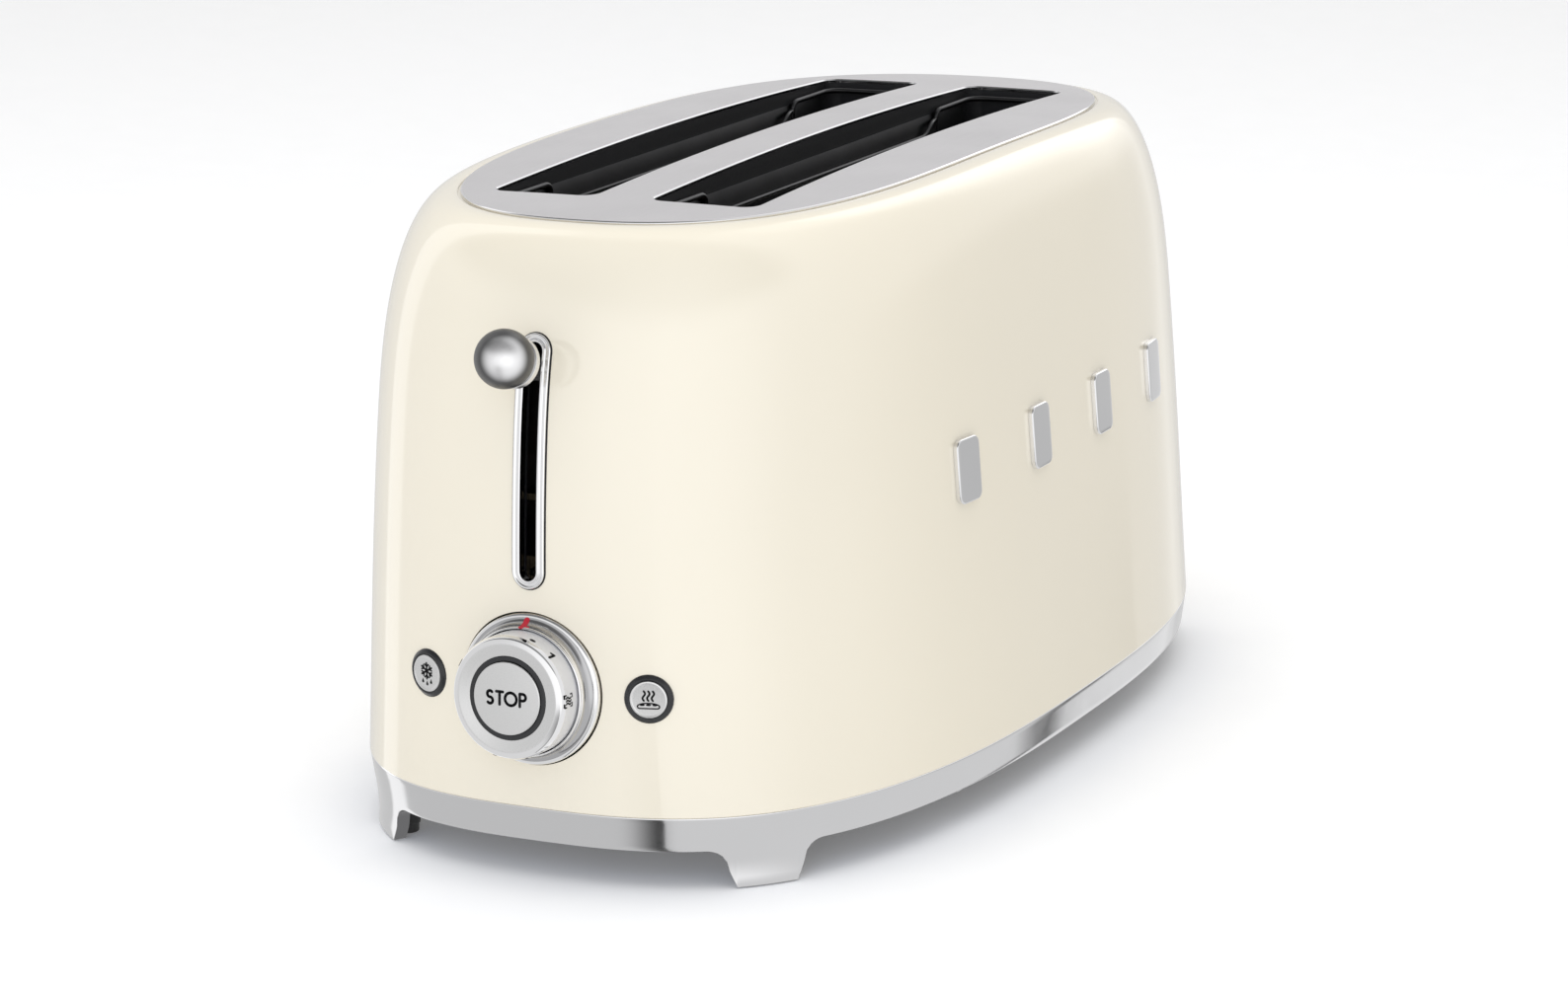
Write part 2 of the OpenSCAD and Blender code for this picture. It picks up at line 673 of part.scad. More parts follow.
body_shell();
top_plate();
base_ring();
base_plate();
foot_pad_front_left();
foot_pad_front_right();
foot_pad_rear_left();
foot_pad_rear_right();
lever_slot_trim();
lever_slot_guard();
dial_bezel();
stop_light_ring();
defrost_ring();
bagel_ring();
side_studs();
cord_gland();
tray_rails();
chassis_front();
chassis_rear();
reflector_left();
reflector_right();
centre_divider();
slot_liner_left();
slot_liner_right();
element_outer_left();
element_inner_left();
element_inner_right();
element_outer_right();
guide_rods();
rod_brackets();
magnet_core();
magnet_coil();
control_board();
dial_encoder();
tact_switches();
terminal_block();
wiring_loom();
return_spring();
base_screws();
lever_knob();
lever_collar();
lever_arm();
carriage_bracket();
carriage_bushes();
keeper_plate();
bread_lifter_left();
bread_lifter_right();
dial_knob();
dial_rotor();
stop_button();
defrost_button();
bagel_button();
crumb_tray();
tray_handle();
bread_guide_outer_left();
bread_guide_inner_left();
bread_guide_inner_right();
bread_guide_outer_right();
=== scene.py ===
import json
import math
import bmesh
import bpy
import numpy as np
from mathutils import Matrix, Vector

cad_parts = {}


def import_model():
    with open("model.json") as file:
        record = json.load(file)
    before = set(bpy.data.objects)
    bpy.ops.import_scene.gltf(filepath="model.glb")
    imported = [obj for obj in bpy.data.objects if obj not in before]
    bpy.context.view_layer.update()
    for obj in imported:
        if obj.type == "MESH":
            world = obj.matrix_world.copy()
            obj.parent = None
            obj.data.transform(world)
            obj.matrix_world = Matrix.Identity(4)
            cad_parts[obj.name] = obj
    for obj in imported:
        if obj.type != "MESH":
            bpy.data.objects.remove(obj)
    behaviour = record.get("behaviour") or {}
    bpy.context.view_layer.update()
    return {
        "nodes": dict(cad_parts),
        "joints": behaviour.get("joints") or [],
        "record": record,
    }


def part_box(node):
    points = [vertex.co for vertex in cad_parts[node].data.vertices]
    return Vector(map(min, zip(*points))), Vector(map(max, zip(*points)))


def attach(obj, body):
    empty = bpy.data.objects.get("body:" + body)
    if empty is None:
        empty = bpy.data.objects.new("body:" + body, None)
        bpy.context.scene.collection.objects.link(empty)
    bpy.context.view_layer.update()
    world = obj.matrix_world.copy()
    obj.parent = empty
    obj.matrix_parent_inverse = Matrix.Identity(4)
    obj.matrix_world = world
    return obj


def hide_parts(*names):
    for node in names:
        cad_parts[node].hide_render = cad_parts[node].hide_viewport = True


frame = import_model()

# Shapes below are worked out in millimetres in the body's own frame, whose middle lies at
# y = BODY_Y of the row frame, and become metres when their mesh is made.
MM = 0.001


def mm_box(node):
    low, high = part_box(node)
    return np.array(low) / MM, np.array(high) / MM


ring_low, ring_high = mm_box("base_ring")
plate_low, plate_high = mm_box("top_plate")
ball_low, ball_high = mm_box("lever_knob")
BODY_Y = (ring_low[1] + ring_high[1]) / 2
BASE_W, BASE_L = ring_high[:2] - ring_low[:2]
BAND_TOP = ring_high[2]
PLATE_HALF = (plate_high[:2] - plate_low[:2]) / 2
BALL_R = (ball_high[0] - ball_low[0]) / 2
BALL_AT = np.array([0, ball_low[1] - BODY_Y + BALL_R, ball_high[2] - BALL_R])
BALL_SHOWN_R = BALL_R + 0.5
BALL_SHIFT = 1.2
BALL_DROP = 1.6

# Casing form: superellipse outlines whose half sizes shrink with height
TOP_Z = 208.0
SHOULDER_Z = 137.6
SHOULDER_POW = 2.66
SIDE_TAPER = 13.5
END_TAPER = 17.4
WALL = 1.2
PLATE_T = 1.3
RIM_DROP = 0.7
MOUTH = PLATE_HALF + [1.3, 1.5]
POW_LOW = np.array([2.8, 2.81])
POW_TOP = np.array([2.38, 3.48])
SIDE_BOW = 0.93
END_BOW = 3
COLUMNS = 480

# Foot band; feet are placed by FOOT_AT and FOOT_OUT in the +X +Y corner, and mirrored
BAND_LOW = 12.8
BAND_MID = 6.0
BAND_T = 2.5
BAND_TAPER = 3.3
LEG_T = 4.2
LEG_OUT = 1.8
LEG_BOTTOM = 0.5
FOOT_AT = np.array([70.8, 172.4])
FOOT_TURN = math.radians(40.6)
FOOT_OUT = np.array([math.cos(FOOT_TURN), math.sin(FOOT_TURN)])
FOOT_CORNERS = {"front_left": (-1, -1), "front_right": (1, -1), "rear_left": (-1, 1),
                "rear_right": (1, 1)}
FOOT_REACH = 20.0
FOOT_HALF = 10.0
FOOT_FLARE = 2.4
FOOT_FILLET = 7.0
PAD_IN = 9.9
PAD_R = 4.4

# Lever slot
SLOT_Z = 133.5
TRIM_W, TRIM_H = 11.0, 78.4
GAP_W = 5.7
LEVER_TILT = 20.0

# Bread slots
SLOT_IN, SLOT_OUT = 9.9, 46.5
SLOT_L = 256.8
SLOT_R = 5.2
LINER_T = 1.0
LINER_LOW = 188.5

# Dial and buttons, along each control's own axis from the casing outwards
KNOB_R = 19.5
KNOB_FACE = 16.6
COLUMN_R = 13.2
STOP_R = 11.5
BEZEL_R = 24.0
INDEX_HALF = 0.95
INDEX_SHIFT = -0.4
BUTTON_R = 5.9
RING_R = 7.7
RING_PROUD = 1.4
BUTTON_PROUD = 1.8

# Plain studs along the side
STUD_ROW = (-82.0, -27.5, 27.5, 82.0)
STUD_HALF_Y = 7.0
STUD_R = 3.0
STUD_PROUD = 1.8


# ---- casing form ----
def even_angles(n):
    """n parameter angles that space points evenly along the casing's outline."""
    t = np.linspace(0, math.pi / 2, 20001)
    x = BASE_W / 2 * np.cos(t) ** (2 / POW_LOW[0])
    y = BASE_L / 2 * np.sin(t) ** (2 / POW_LOW[1])
    run = np.concatenate([[0], np.cumsum(np.hypot(np.diff(x), np.diff(y)))])
    quarter = np.interp(np.linspace(0, run[-1], n // 4 + 1), run, t)
    half = np.concatenate([quarter[:-1], math.pi - quarter[:0:-1]])
    return np.concatenate([half, half + math.pi])


ANGLES = even_angles(COLUMNS)


def outline(b, a, powers, angles=ANGLES):
    c, s = np.cos(angles), np.sin(angles)
    x = b * np.sign(c) * np.abs(c) ** (2 / powers[0])
    y = a * np.sign(s) * np.abs(s) ** (2 / powers[1])
    return np.stack([x, y], 1)


def rise(z):
    return (z - BAND_TOP) / (TOP_Z - BAND_TOP)


def shoulder(z):
    return max(0.0, (z - SHOULDER_Z) / (TOP_Z - SHOULDER_Z))


def half_sizes(z):
    roll = 1 - max(0.0, 1 - shoulder(z) ** SHOULDER_POW) ** (1 / SHOULDER_POW)
    side, end = BASE_W / 2 - SIDE_TAPER, BASE_L / 2 - END_TAPER
    return np.array([BASE_W / 2 - SIDE_TAPER * rise(z) ** SIDE_BOW - (side - MOUTH[0]) * roll,
                     BASE_L / 2 - END_TAPER * rise(z) ** END_BOW - (end - MOUTH[1]) * roll])


def powers_at(z):
    return POW_LOW + (POW_TOP - POW_LOW) * rise(z)


def crown_fall(x, y):
    """How far the crowned top lies below its middle: 0.81 at x = 70 and 3.53 at y = 150."""
    return 0.81 * (x / 70) ** 2 + 3.53 * (y / 150) ** 2


def casing_ring(z, off=0.0):
    b, a = half_sizes(z) + off
    p = outline(b, a, powers_at(z))
    drop = shoulder(z) ** 2 * (RIM_DROP + crown_fall(p[:, 0], p[:, 1]))
    height = z + off * shoulder(z) ** 4 - drop
    return np.column_stack([p, height])


def front_point(x, z):
    """Point of the casing's front face at that x and height."""
    level, y = z, 0.0
    for _ in range(12):
        b, a = half_sizes(level)
        p, q = powers_at(level)
        y = -a * (1 - min(1.0, abs(x / b)) ** p) ** (1 / q)
        level = min(TOP_Z, z + shoulder(level) ** 2 * (RIM_DROP + crown_fall(x, y)))
    return np.array([x, y, z])


def raised(point, u, v, lift):
    """Spot that stands off a face by lift, where point(u, v) gives the face's own points."""
    d = 0.2
    along = point(u + d, v) - point(u - d, v)
    up = point(u, v + d) - point(u, v - d)
    n = np.cross(along, up)
    return point(u, v) + n / np.linalg.norm(n) * lift


def side_point(y, z):
    """Point of the casing's +X side at that y and height."""
    b, a = half_sizes(z)
    p, q = powers_at(z)
    return np.array([b * (1 - abs(y / a) ** q) ** (1 / p), y, z])


def band_ring(z, off, angles):
    """Ring off outside the band's face; z and off may differ from point to point."""
    taper = BAND_TAPER * (1 - z / BAND_TOP)
    p = outline(BASE_W / 2 - taper + off, BASE_L / 2 - taper + off, POW_LOW, angles)
    return np.column_stack([p, np.broadcast_to(z, len(p))])


def crown_ring(half, drop):
    """Ring of those half sizes, drop below the crowned top."""
    p = outline(*half, POW_TOP)
    return np.column_stack([p, TOP_Z - drop - crown_fall(p[:, 0], p[:, 1])])


# ---- meshes ----
def ring_faces(n, m, closed=False):
    """Quads between m rings of n points; closed joins the last ring to the first."""
    rows = m if closed else m - 1
    return [(k * n + i, k * n + (i + 1) % n, (k + 1) % m * n + (i + 1) % n, (k + 1) % m * n + i)
            for k in range(rows) for i in range(n)]


def raw_mesh(name, points, faces):
    """Mesh in metres in the row frame, from millimetres in the body's frame."""
    data = bpy.data.meshes.new(name)
    moved = (np.asarray(points, float) + [0, BODY_Y, 0]) * MM
    data.from_pydata(moved.tolist(), [], [tuple(int(i) for i in f) for f in faces])
    tidy(data)
    return data


def tidy(data, gap=1e-7):
    work = bmesh.new()
    work.from_mesh(data)
    bmesh.ops.remove_doubles(work, verts=work.verts, dist=gap)
    bmesh.ops.dissolve_degenerate(work, edges=work.edges, dist=gap)
    bmesh.ops.recalc_face_normals(work, faces=work.faces)
    work.to_mesh(data)
    work.free()
    data.update()


def piece(data, name, body, slot, replaces=(), materials=None, crease=35.0):
    """Shown object from a mesh: smooth with sharp edges, on its body, with its finish."""
    data.name = name
    o = bpy.data.objects.new(name, data)
    bpy.context.scene.collection.objects.link(o)
    data.materials.clear()
    for m in materials or [MATERIALS[slot]]:
        data.materials.append(m)
    data.shade_smooth()
    data.set_sharp_from_angle(angle=math.radians(crease))
    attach(o, body)
    if replaces:
        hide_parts(*replaces)
    return o


def joined(parts):
    """One mesh from several, each given as (mesh, material index)."""
    work = bmesh.new()
    for data, index in parts:
        start = len(work.faces)
        work.from_mesh(data)
        work.faces.ensure_lookup_table()
        for f in work.faces[start:]:
            f.material_index = index
    out = bpy.data.meshes.new("joined")
    work.to_mesh(out)
    work.free()
    return out


def carved(data, cutter, operation="DIFFERENCE"):
    """The mesh with a cutter taken out of it."""
    o = bpy.data.objects.new("carved", data)
    c = bpy.data.objects.new("cutter", cutter)
    for x in (o, c):
        bpy.context.scene.collection.objects.link(x)
    m = o.modifiers.new("cut", "BOOLEAN")
    m.object, m.operation, m.solver = c, operation, "EXACT"
    view = bpy.context.evaluated_depsgraph_get()
    out = bpy.data.meshes.new_from_object(o.evaluated_get(view))
    for x in (o, c):
        bpy.data.objects.remove(x)
    tidy(out, 2e-6)
    return out


def loft(name, rings, closed=False):
    """Mesh through rings of equal count, with flat caps unless it is closed on itself."""
    n, m = len(rings[0]), len(rings)
    faces = ring_faces(n, m, closed)
    if not closed:
        faces += [tuple(range(n))[::-1], tuple(range((m - 1) * n, m * n))]
    return raw_mesh(name, np.concatenate(rings), faces)


def fillet(corners, steps=6):
    """Outline through (x, y, radius) corners, each rounded by its radius."""
    pts = [np.array(c[:2], float) for c in corners]
    out = []
    for i, c in enumerate(corners):
        r = c[2] if len(c) > 2 else 0
        p = pts[i]
        if r == 0 or i in (0, len(pts) - 1):
            out.append(p)
            continue
        u, v = pts[i - 1] - p, pts[i + 1] - p
        lu, lv = np.linalg.norm(u), np.linalg.norm(v)
        u, v = u / lu, v / lv
        half = math.acos(np.clip(u @ v, -1, 1)) / 2
        reach = min(r / math.tan(half), 0.49 * min(lu, lv))
        r = reach * math.tan(half)
        centre = p + (u + v) / np.linalg.norm(u + v) * r / math.sin(half)
        a, b = p + u * reach - centre, p + v * reach - centre
        sweep = math.atan2(a[0] * b[1] - a[1] * b[0], a @ b)
        for k in range(steps + 1):
            t = sweep * k / steps
            out.append(centre + [a[0] * math.cos(t) - a[1] * math.sin(t),
                                 a[0] * math.sin(t) + a[1] * math.cos(t)])
    return np.array(out)


class Place:
    """A local frame: origin and axes in the body's frame, millimetres."""

    def __init__(self, origin, out, up=(0, 0, 1)):
        self.origin = np.array(origin, float)
        self.out = np.array(out, float) / np.linalg.norm(out)
        side = np.cross(up, self.out)
        self.side = side / np.linalg.norm(side)
        self.up = np.cross(self.out, self.side)

    def at(self, p):
        p = np.asarray(p, float)
        return self.origin + p[..., :1] * self.side + p[..., 1:2] * self.up + p[..., 2:3] * self.out


def revolved(name, place, profile, segments=160):
    """Surface of revolution about the place's outward axis; profile is (radius, height)."""
    t = np.linspace(0, 2 * math.pi, segments, endpoint=False)
    rings = [place.at(np.column_stack([r * np.cos(t), r * np.sin(t), np.full(segments, h)]))
             for r, h in profile]
    closed = bool(np.allclose(profile[0], profile[-1]))
    if closed:
        rings = rings[:-1]
    return loft(name, rings, closed)


def swept(name, path, radius, sides=10, cyclic=False):
    """Round wire along points."""
    path = [np.array(p, float) for p in path]
    m = len(path)
    rings, ref = [], None
    for i in range(m):
        a = path[i - 1] if cyclic or i else path[0]
        b = path[(i + 1) % m] if cyclic or i < m - 1 else path[-1]
        d = (b - a) / np.linalg.norm(b - a)
        if ref is None:
            ref = np.array([0, 0, 1.0]) if abs(d[2]) < 0.9 else np.array([1.0, 0, 0])
        u = np.cross(ref, d)
        u /= np.linalg.norm(u)
        v = np.cross(d, u)
        ref = v
        t = np.linspace(0, 2 * math.pi, sides, endpoint=False)[:, None]
        rings.append(path[i] + radius * (np.cos(t) * u + np.sin(t) * v))
    return loft(name, rings, cyclic)


def rounded_path(corners, radius, steps=6, cyclic=False):
    """3-D polyline whose corners are rounded."""
    pts = [np.array(c, float) for c in corners]
    n, out = len(pts), []
    for i, p in enumerate(pts):
        if not cyclic and i in (0, n - 1):
            out.append(p)
            continue
        u, v = pts[i - 1] - p, pts[(i + 1) % n] - p
        reach = min(radius, 0.49 * np.linalg.norm(u), 0.49 * np.linalg.norm(v))
        a, b = p + u / np.linalg.norm(u) * reach, p + v / np.linalg.norm(v) * reach
        out += [(1 - s) ** 2 * a + 2 * s * (1 - s) * p + s * s * b
                for s in np.linspace(0, 1, steps)]
    return out


def slab(name, *limits):
    """Closed box between (low, high) limits in x, y and z."""
    data = bpy.data.meshes.new(name)
    work = bmesh.new()
    bmesh.ops.create_cube(work, size=1)
    low, high = np.array(limits).T
    for v in work.verts:
        v.co = Vector(((low + high) / 2 + np.array(v.co) * (high - low) + [0, BODY_Y, 0]) * MM)
    work.to_mesh(data)
    work.free()
    return data


# ---- materials ----
def mapped(tree, value, low, high, to_low, to_high, easing="LINEAR"):
    """A value's range low to high turned into to_low to to_high."""
    node = tree.nodes.new("ShaderNodeMapRange")
    node.interpolation_type = easing
    node.inputs["From Min"].default_value = low
    node.inputs["From Max"].default_value = high
    node.inputs["To Min"].default_value = to_low
    node.inputs["To Max"].default_value = to_high
    tree.links.new(value, node.inputs["Value"])
    return node.outputs["Result"]


def new_material(name):
    m = bpy.data.materials.new(name)
    m.use_nodes = True
    return m, m.node_tree.nodes, m.node_tree.links, m.node_tree.nodes["Principled BSDF"]


def grain(m, scale, stretch=(1, 1, 1)):
    """Noise over the object's own coordinates, in cycles per metre times stretch."""
    nodes, links = m.node_tree.nodes, m.node_tree.links
    place = nodes.new("ShaderNodeTexCoord")
    sized = nodes.new("ShaderNodeMapping")
    sized.inputs["Scale"].default_value = [scale * s for s in stretch]
    links.new(place.outputs["Object"], sized.inputs["Vector"])
    noise = nodes.new("ShaderNodeTexNoise")
    noise.inputs["Scale"].default_value = 1.0
    noise.inputs["Detail"].default_value = 3.0
    links.new(sized.outputs["Vector"], noise.inputs["Vector"])
    return noise.outputs["Fac"]


def spread(m, source, low, high):
    """Value that runs from low to high as the noise does."""
    return mapped(m.node_tree, source, 0.3, 0.7, low, high)


def tint(m, source, dark, light):
    nodes, links = m.node_tree.nodes, m.node_tree.links
    mixed = nodes.new("ShaderNodeMix")
    mixed.data_type = "RGBA"
    mixed.inputs[6].default_value = (*dark, 1)
    mixed.inputs[7].default_value = (*light, 1)
    links.new(spread(m, source, 0.0, 1.0), mixed.inputs[0])
    return mixed.outputs[2]


def bump(m, source, strength, depth):
    nodes, links = m.node_tree.nodes, m.node_tree.links
    b = nodes.new("ShaderNodeBump")
    b.inputs["Strength"].default_value = strength
    b.inputs["Distance"].default_value = depth
    links.new(source, b.inputs["Height"])
    return b.outputs["Normal"]


def shades(color, amount):
    return [c * (1 - amount) for c in color], [min(1.0, c * (1 + amount)) for c in color]


def surface(name, color, roughness, metallic=0.0, vary=0.03, cloud=30.0, texture=900.0,
            stretch=(1, 1, 1), strength=0.1, depth=0.0001, spare=None, **sockets):
    """Procedural finish: slow colour clouds, fine grain in roughness and bump."""
    m, nodes, links, shader = new_material(name)
    shader.inputs["Metallic"].default_value = metallic
    for key, value in sockets.items():
        shader.inputs[key.replace("_", " ")].default_value = value
    slow = grain(m, cloud)
    fine = grain(m, texture, stretch)
    links.new(tint(m, slow, *shades(color, vary)), shader.inputs["Base Color"])
    wide = spare if spare is not None else roughness * 0.15
    links.new(spread(m, fine, roughness - wide, roughness + wide), shader.inputs["Roughness"])
    links.new(bump(m, fine, strength, depth), shader.inputs["Normal"])
    return m


def polished(name, color, roughness, texture, depth=0.00002, spare=0.02):
    """Polished metal: hardly any clouds or grain."""
    return surface(name, color, roughness, 1.0, vary=0.01, cloud=20, texture=texture,
                   strength=0.02, depth=depth, spare=spare)


def rim_darkened(m, rim):
    """Painted reflection: the metal's colour falls to a fraction of itself where the surface turns
    away.
    """
    nodes, links = m.node_tree.nodes, m.node_tree.links
    shader = nodes["Principled BSDF"]
    weight = nodes.new("ShaderNodeLayerWeight")
    weight.inputs["Blend"].default_value = 0.5
    turned = mapped(m.node_tree, weight.outputs["Facing"], 0.10, 0.42, 1.0, rim, "SMOOTHSTEP")
    scaled = nodes.new("ShaderNodeVectorMath")
    scaled.operation = "SCALE"
    links.new(shader.inputs["Base Color"].links[0].from_socket, scaled.inputs[0])
    links.new(turned, scaled.inputs["Scale"])
    links.new(scaled.outputs["Vector"], shader.inputs["Base Color"])
    return m


def make_materials():
    coat = {"Coat_Weight": 1.0, "Coat_Roughness": 0.03, "Coat_IOR": 1.75}
    return {
        "enamel": surface("cream_enamel", (0.885, 0.81, 0.645), 0.32, vary=0.008, cloud=12,
                          texture=1100, strength=0.05, depth=0.00002, spare=0.03, **coat),
        "brushed": surface("brushed_steel", (0.80, 0.785, 0.80), 0.36, 1.0, texture=2600,
                           stretch=(1, 0.012, 1), strength=0.12, depth=0.00002, spare=0.05),
        "chrome": polished("polished_chrome", (0.80, 0.80, 0.81), 0.07, 160),
        "satin": surface("satin_aluminium", (0.80, 0.80, 0.80), 0.30, 1.0, vary=0.01,
                         texture=5000, strength=0.10, depth=0.00001, spare=0.04),
        "steel": surface("plain_steel", (0.60, 0.60, 0.61), 0.28, 1.0, texture=1500,
                         stretch=(1, 1, 0.1)),
        # painted shade: the aluminised sheets are given a dark grey for the shade inside the
        # toaster
        "zinc_sheet": surface("aluminised_sheet", (0.24, 0.24, 0.245), 0.38, 1.0, vary=0.15,
                              cloud=120, texture=900),
        "wire_chrome": surface("polished_wire", (0.82, 0.82, 0.83), 0.10, 1.0, texture=700,
                               strength=0.05),
        "black_metal": surface("black_paint", (0.012, 0.012, 0.013), 0.42, texture=1800,
                               strength=0.15, depth=0.00004),
        "black_plastic": surface("black_moulding", (0.012, 0.012, 0.013), 0.5, texture=2600,
                                 strength=0.2, depth=0.00005),
        "dark_ring": surface("dark_gloss_ring", (0.015, 0.0155, 0.017), 0.26, vary=0.05,
                             texture=1200, strength=0.04, Coat_Weight=0.15),
        "rubber": surface("rubber", (0.02, 0.02, 0.02), 0.7, vary=0.1, texture=1600,
                          strength=0.3, depth=0.0001),
        "mica": surface("mica_board", (0.42, 0.36, 0.26), 0.55, vary=0.22, cloud=260,
                        texture=900, strength=0.3, depth=0.0001),
        "copper": surface("wound_copper", (0.62, 0.30, 0.15), 0.3, 1.0, texture=2200,
                          stretch=(0.05, 0.05, 1), strength=0.7, depth=0.0002),
        "board": surface("solder_resist", (0.015, 0.11, 0.04), 0.4, vary=0.3, cloud=180,
                         texture=800, strength=0.2),
        "white_plastic": surface("white_moulding", (0.72, 0.72, 0.69), 0.45, texture=1500),
        "ceramic": surface("glazed_ceramic", (0.72, 0.70, 0.63), 0.25, texture=700),
        "wire": surface("woven_sleeve", (0.42, 0.39, 0.34), 0.8, vary=0.2, cloud=900,
                        texture=1800, strength=0.6, depth=0.0003)}


MATERIALS = make_materials()
PRINT = surface("black_print", (0.008, 0.008, 0.009), 0.6, vary=0.05, texture=2500, strength=0.05,
                Specular_IOR_Level=0.15)
RED = surface("red_index", (0.50, 0.012, 0.03), 0.35, vary=0.04, texture=2500, strength=0.05)
BAND_STEEL = polished("polished_band", (0.70, 0.70, 0.71), 0.10, 120)
# painted shade: dark steel for the legs' flanks, in place of the shaded floor they mirror
LEG_SIDE_PAINTED_SHADE = polished("shaded_leg_side", (0.17, 0.17, 0.175), 0.2, 120, spare=None)
# painted shade: near-black sheet for the deep shade inside the bread slots
SHEET_PAINTED_SHADE = surface("sheet_painted_shade", (0.05, 0.05, 0.052), 0.34, 1.0, vary=0.15, cloud=60,
                     texture=900)
# bright chrome; on the band's eased top edge it is a painted highlight
BRIGHT_CHROME_AND_HIGHLIGHT = polished("bright_chrome_and_highlight", (0.94, 0.94, 0.95), 0.08, 160)
# painted shade: darker steel for the bezel's valley and the plate's slot rims and walls
SHADE_PAINTED_STEEL = polished("shaded_valley", (0.50, 0.50, 0.51), 0.14, 900, depth=0.00001, spare=None)
# the ball's rim is darkened: a painted reflection of a dark room
BALL_METAL = rim_darkened(surface("ball_metal", (0.97, 0.97, 0.98), 0.38, 1.0, vary=0.01, cloud=40,
                                 texture=1500, strength=0.03, depth=0.00001), 0.13)
FROSTED = surface("frosted_aluminium", (0.80, 0.80, 0.81), 0.42, 0.45, vary=0.01,
                  texture=5000, strength=0.08, depth=0.00001)
RIBBON = surface("heating_ribbon", (0.42, 0.36, 0.31), 0.35, 1.0, vary=0.15, cloud=300)


# ---- casing, plate and band ----
def stadium(w, h, steps=24):
    """Upright long hole outline in x and z about the lever slot's middle."""
    r, reach = w / 2, (h - w) / 2
    t = np.linspace(0, math.pi, steps + 1)
    top = np.column_stack([r * np.cos(t), SLOT_Z + reach + r * np.sin(t)])
    bottom = np.column_stack([-r * np.cos(t), SLOT_Z - reach - r * np.sin(t)])
    return np.concatenate([top, bottom])


def prism_y(name, points, *ends):
    """Solid with an x-z outline, between two y values."""
    return loft(name, [np.column_stack([points[:, 0], np.full(len(points), y), points[:, 1]])
                       for y in ends])


def painted_casing():
    lower = np.linspace(BAND_TOP, SHOULDER_Z, 26)[:-1]
    bend = np.linspace(0, math.pi / 2, 34)
    levels = np.concatenate([lower, SHOULDER_Z + (TOP_Z - SHOULDER_Z)
                             * np.sin(bend) ** (2 / SHOULDER_POW)])
    outer = [casing_ring(z) for z in levels]
    inner = [casing_ring(z, -WALL) for z in [*levels[::-1][::2], BAND_TOP]]
    shelf = PLATE_T + 0.1
    lip = [crown_ring(MOUTH + off, drop)
           for off, drop in ((-0.35, RIM_DROP + 0.08), (-0.55, RIM_DROP + 0.3), (-0.6, shelf),
                             (-4.3, shelf), (-4.3, 2.0))]
    data = loft("casing", outer + lip + inner, closed=True)
    cutters = [prism_y("slot", stadium(TRIM_W - 2.4, TRIM_H - 2.4), -230, -150),
               revolved("hole", DIAL, [(BEZEL_R + 0.45, -12), (BEZEL_R + 0.45, 18)], 160),
               revolved("gland", Place([0, 180, 45], [0, 1, 0]), [(8.05, 0), (8.05, 40)], 64)]
    cutters += [revolved("button", b, [(RING_R + 0.05, -12), (RING_R + 0.05, 18)], 72)
                for b in BUTTONS.values()]
    data = carved(data, joined([(c, 0) for c in cutters]))
    return piece(data, "painted_casing", "casing", "enamel", ["body_shell"], crease=40)


def slot_outline(side, grow):
    """Round-cornered bread slot outline, with points along its sides to follow the crown."""
    x0, x1 = sorted((side * SLOT_IN, side * SLOT_OUT))
    mid_x, half = (x0 + x1) / 2, (x1 - x0) / 2
    cx, cy, r = half - SLOT_R, SLOT_L / 2 - SLOT_R, SLOT_R + grow
    corners = ((cx, cy, 0), (-cx, cy, 90), (-cx, -cy, 180), (cx, -cy, 270))
    pts = []
    for i, (x, y, start) in enumerate(corners):
        pts += [(mid_x + x + r * math.cos(t), y + r * math.sin(t))
                for t in np.radians(np.linspace(start, start + 90, 13))]
        nx, ny, turn = corners[(i + 1) % 4]
        a = np.array(pts[-1])
        t = math.radians(turn)
        b = np.array([mid_x + nx + r * math.cos(t), ny + r * math.sin(t)])
        steps = 30 if i % 2 else 4
        pts += [tuple(a + (b - a) * k / steps) for k in range(1, steps)]
    return np.array(pts)


def bread_slot(side):
    """Cutter for one slot, whose rim flares out a little at the crowned plate's surface."""
    rings, flare = [], 0.45
    for grow, height in ((0, None), (0, TOP_Z - flare), (1.0, TOP_Z + 1 - flare), (1.0, None)):
        p = slot_outline(side, grow)
        if height is None:
            z = np.full(len(p), TOP_Z + (12 if grow else -40))
        else:
            z = height - crown_fall(p[:, 0], p[:, 1])
        rings.append(np.column_stack([p, z]))
    return loft("bread_slot", rings)


def slot_liners():
    """Black collars that hang from the plate round each slot."""
    for side, name in ((-1, "left"), (1, "right")):
        rings = []
        for grow, top in ((0.05, True), (LINER_T, True), (LINER_T, False), (0.05, False)):
            p = slot_outline(side, grow)
            under = TOP_Z - PLATE_T - 0.05 - crown_fall(p[:, 0], p[:, 1])
            rings.append(np.column_stack([p, under if top else np.full(len(p), LINER_LOW)]))
        piece(loft("liner", rings, closed=True), "slot_collar_" + name, "casing", "black_metal",
              ["slot_liner_" + name], crease=40)


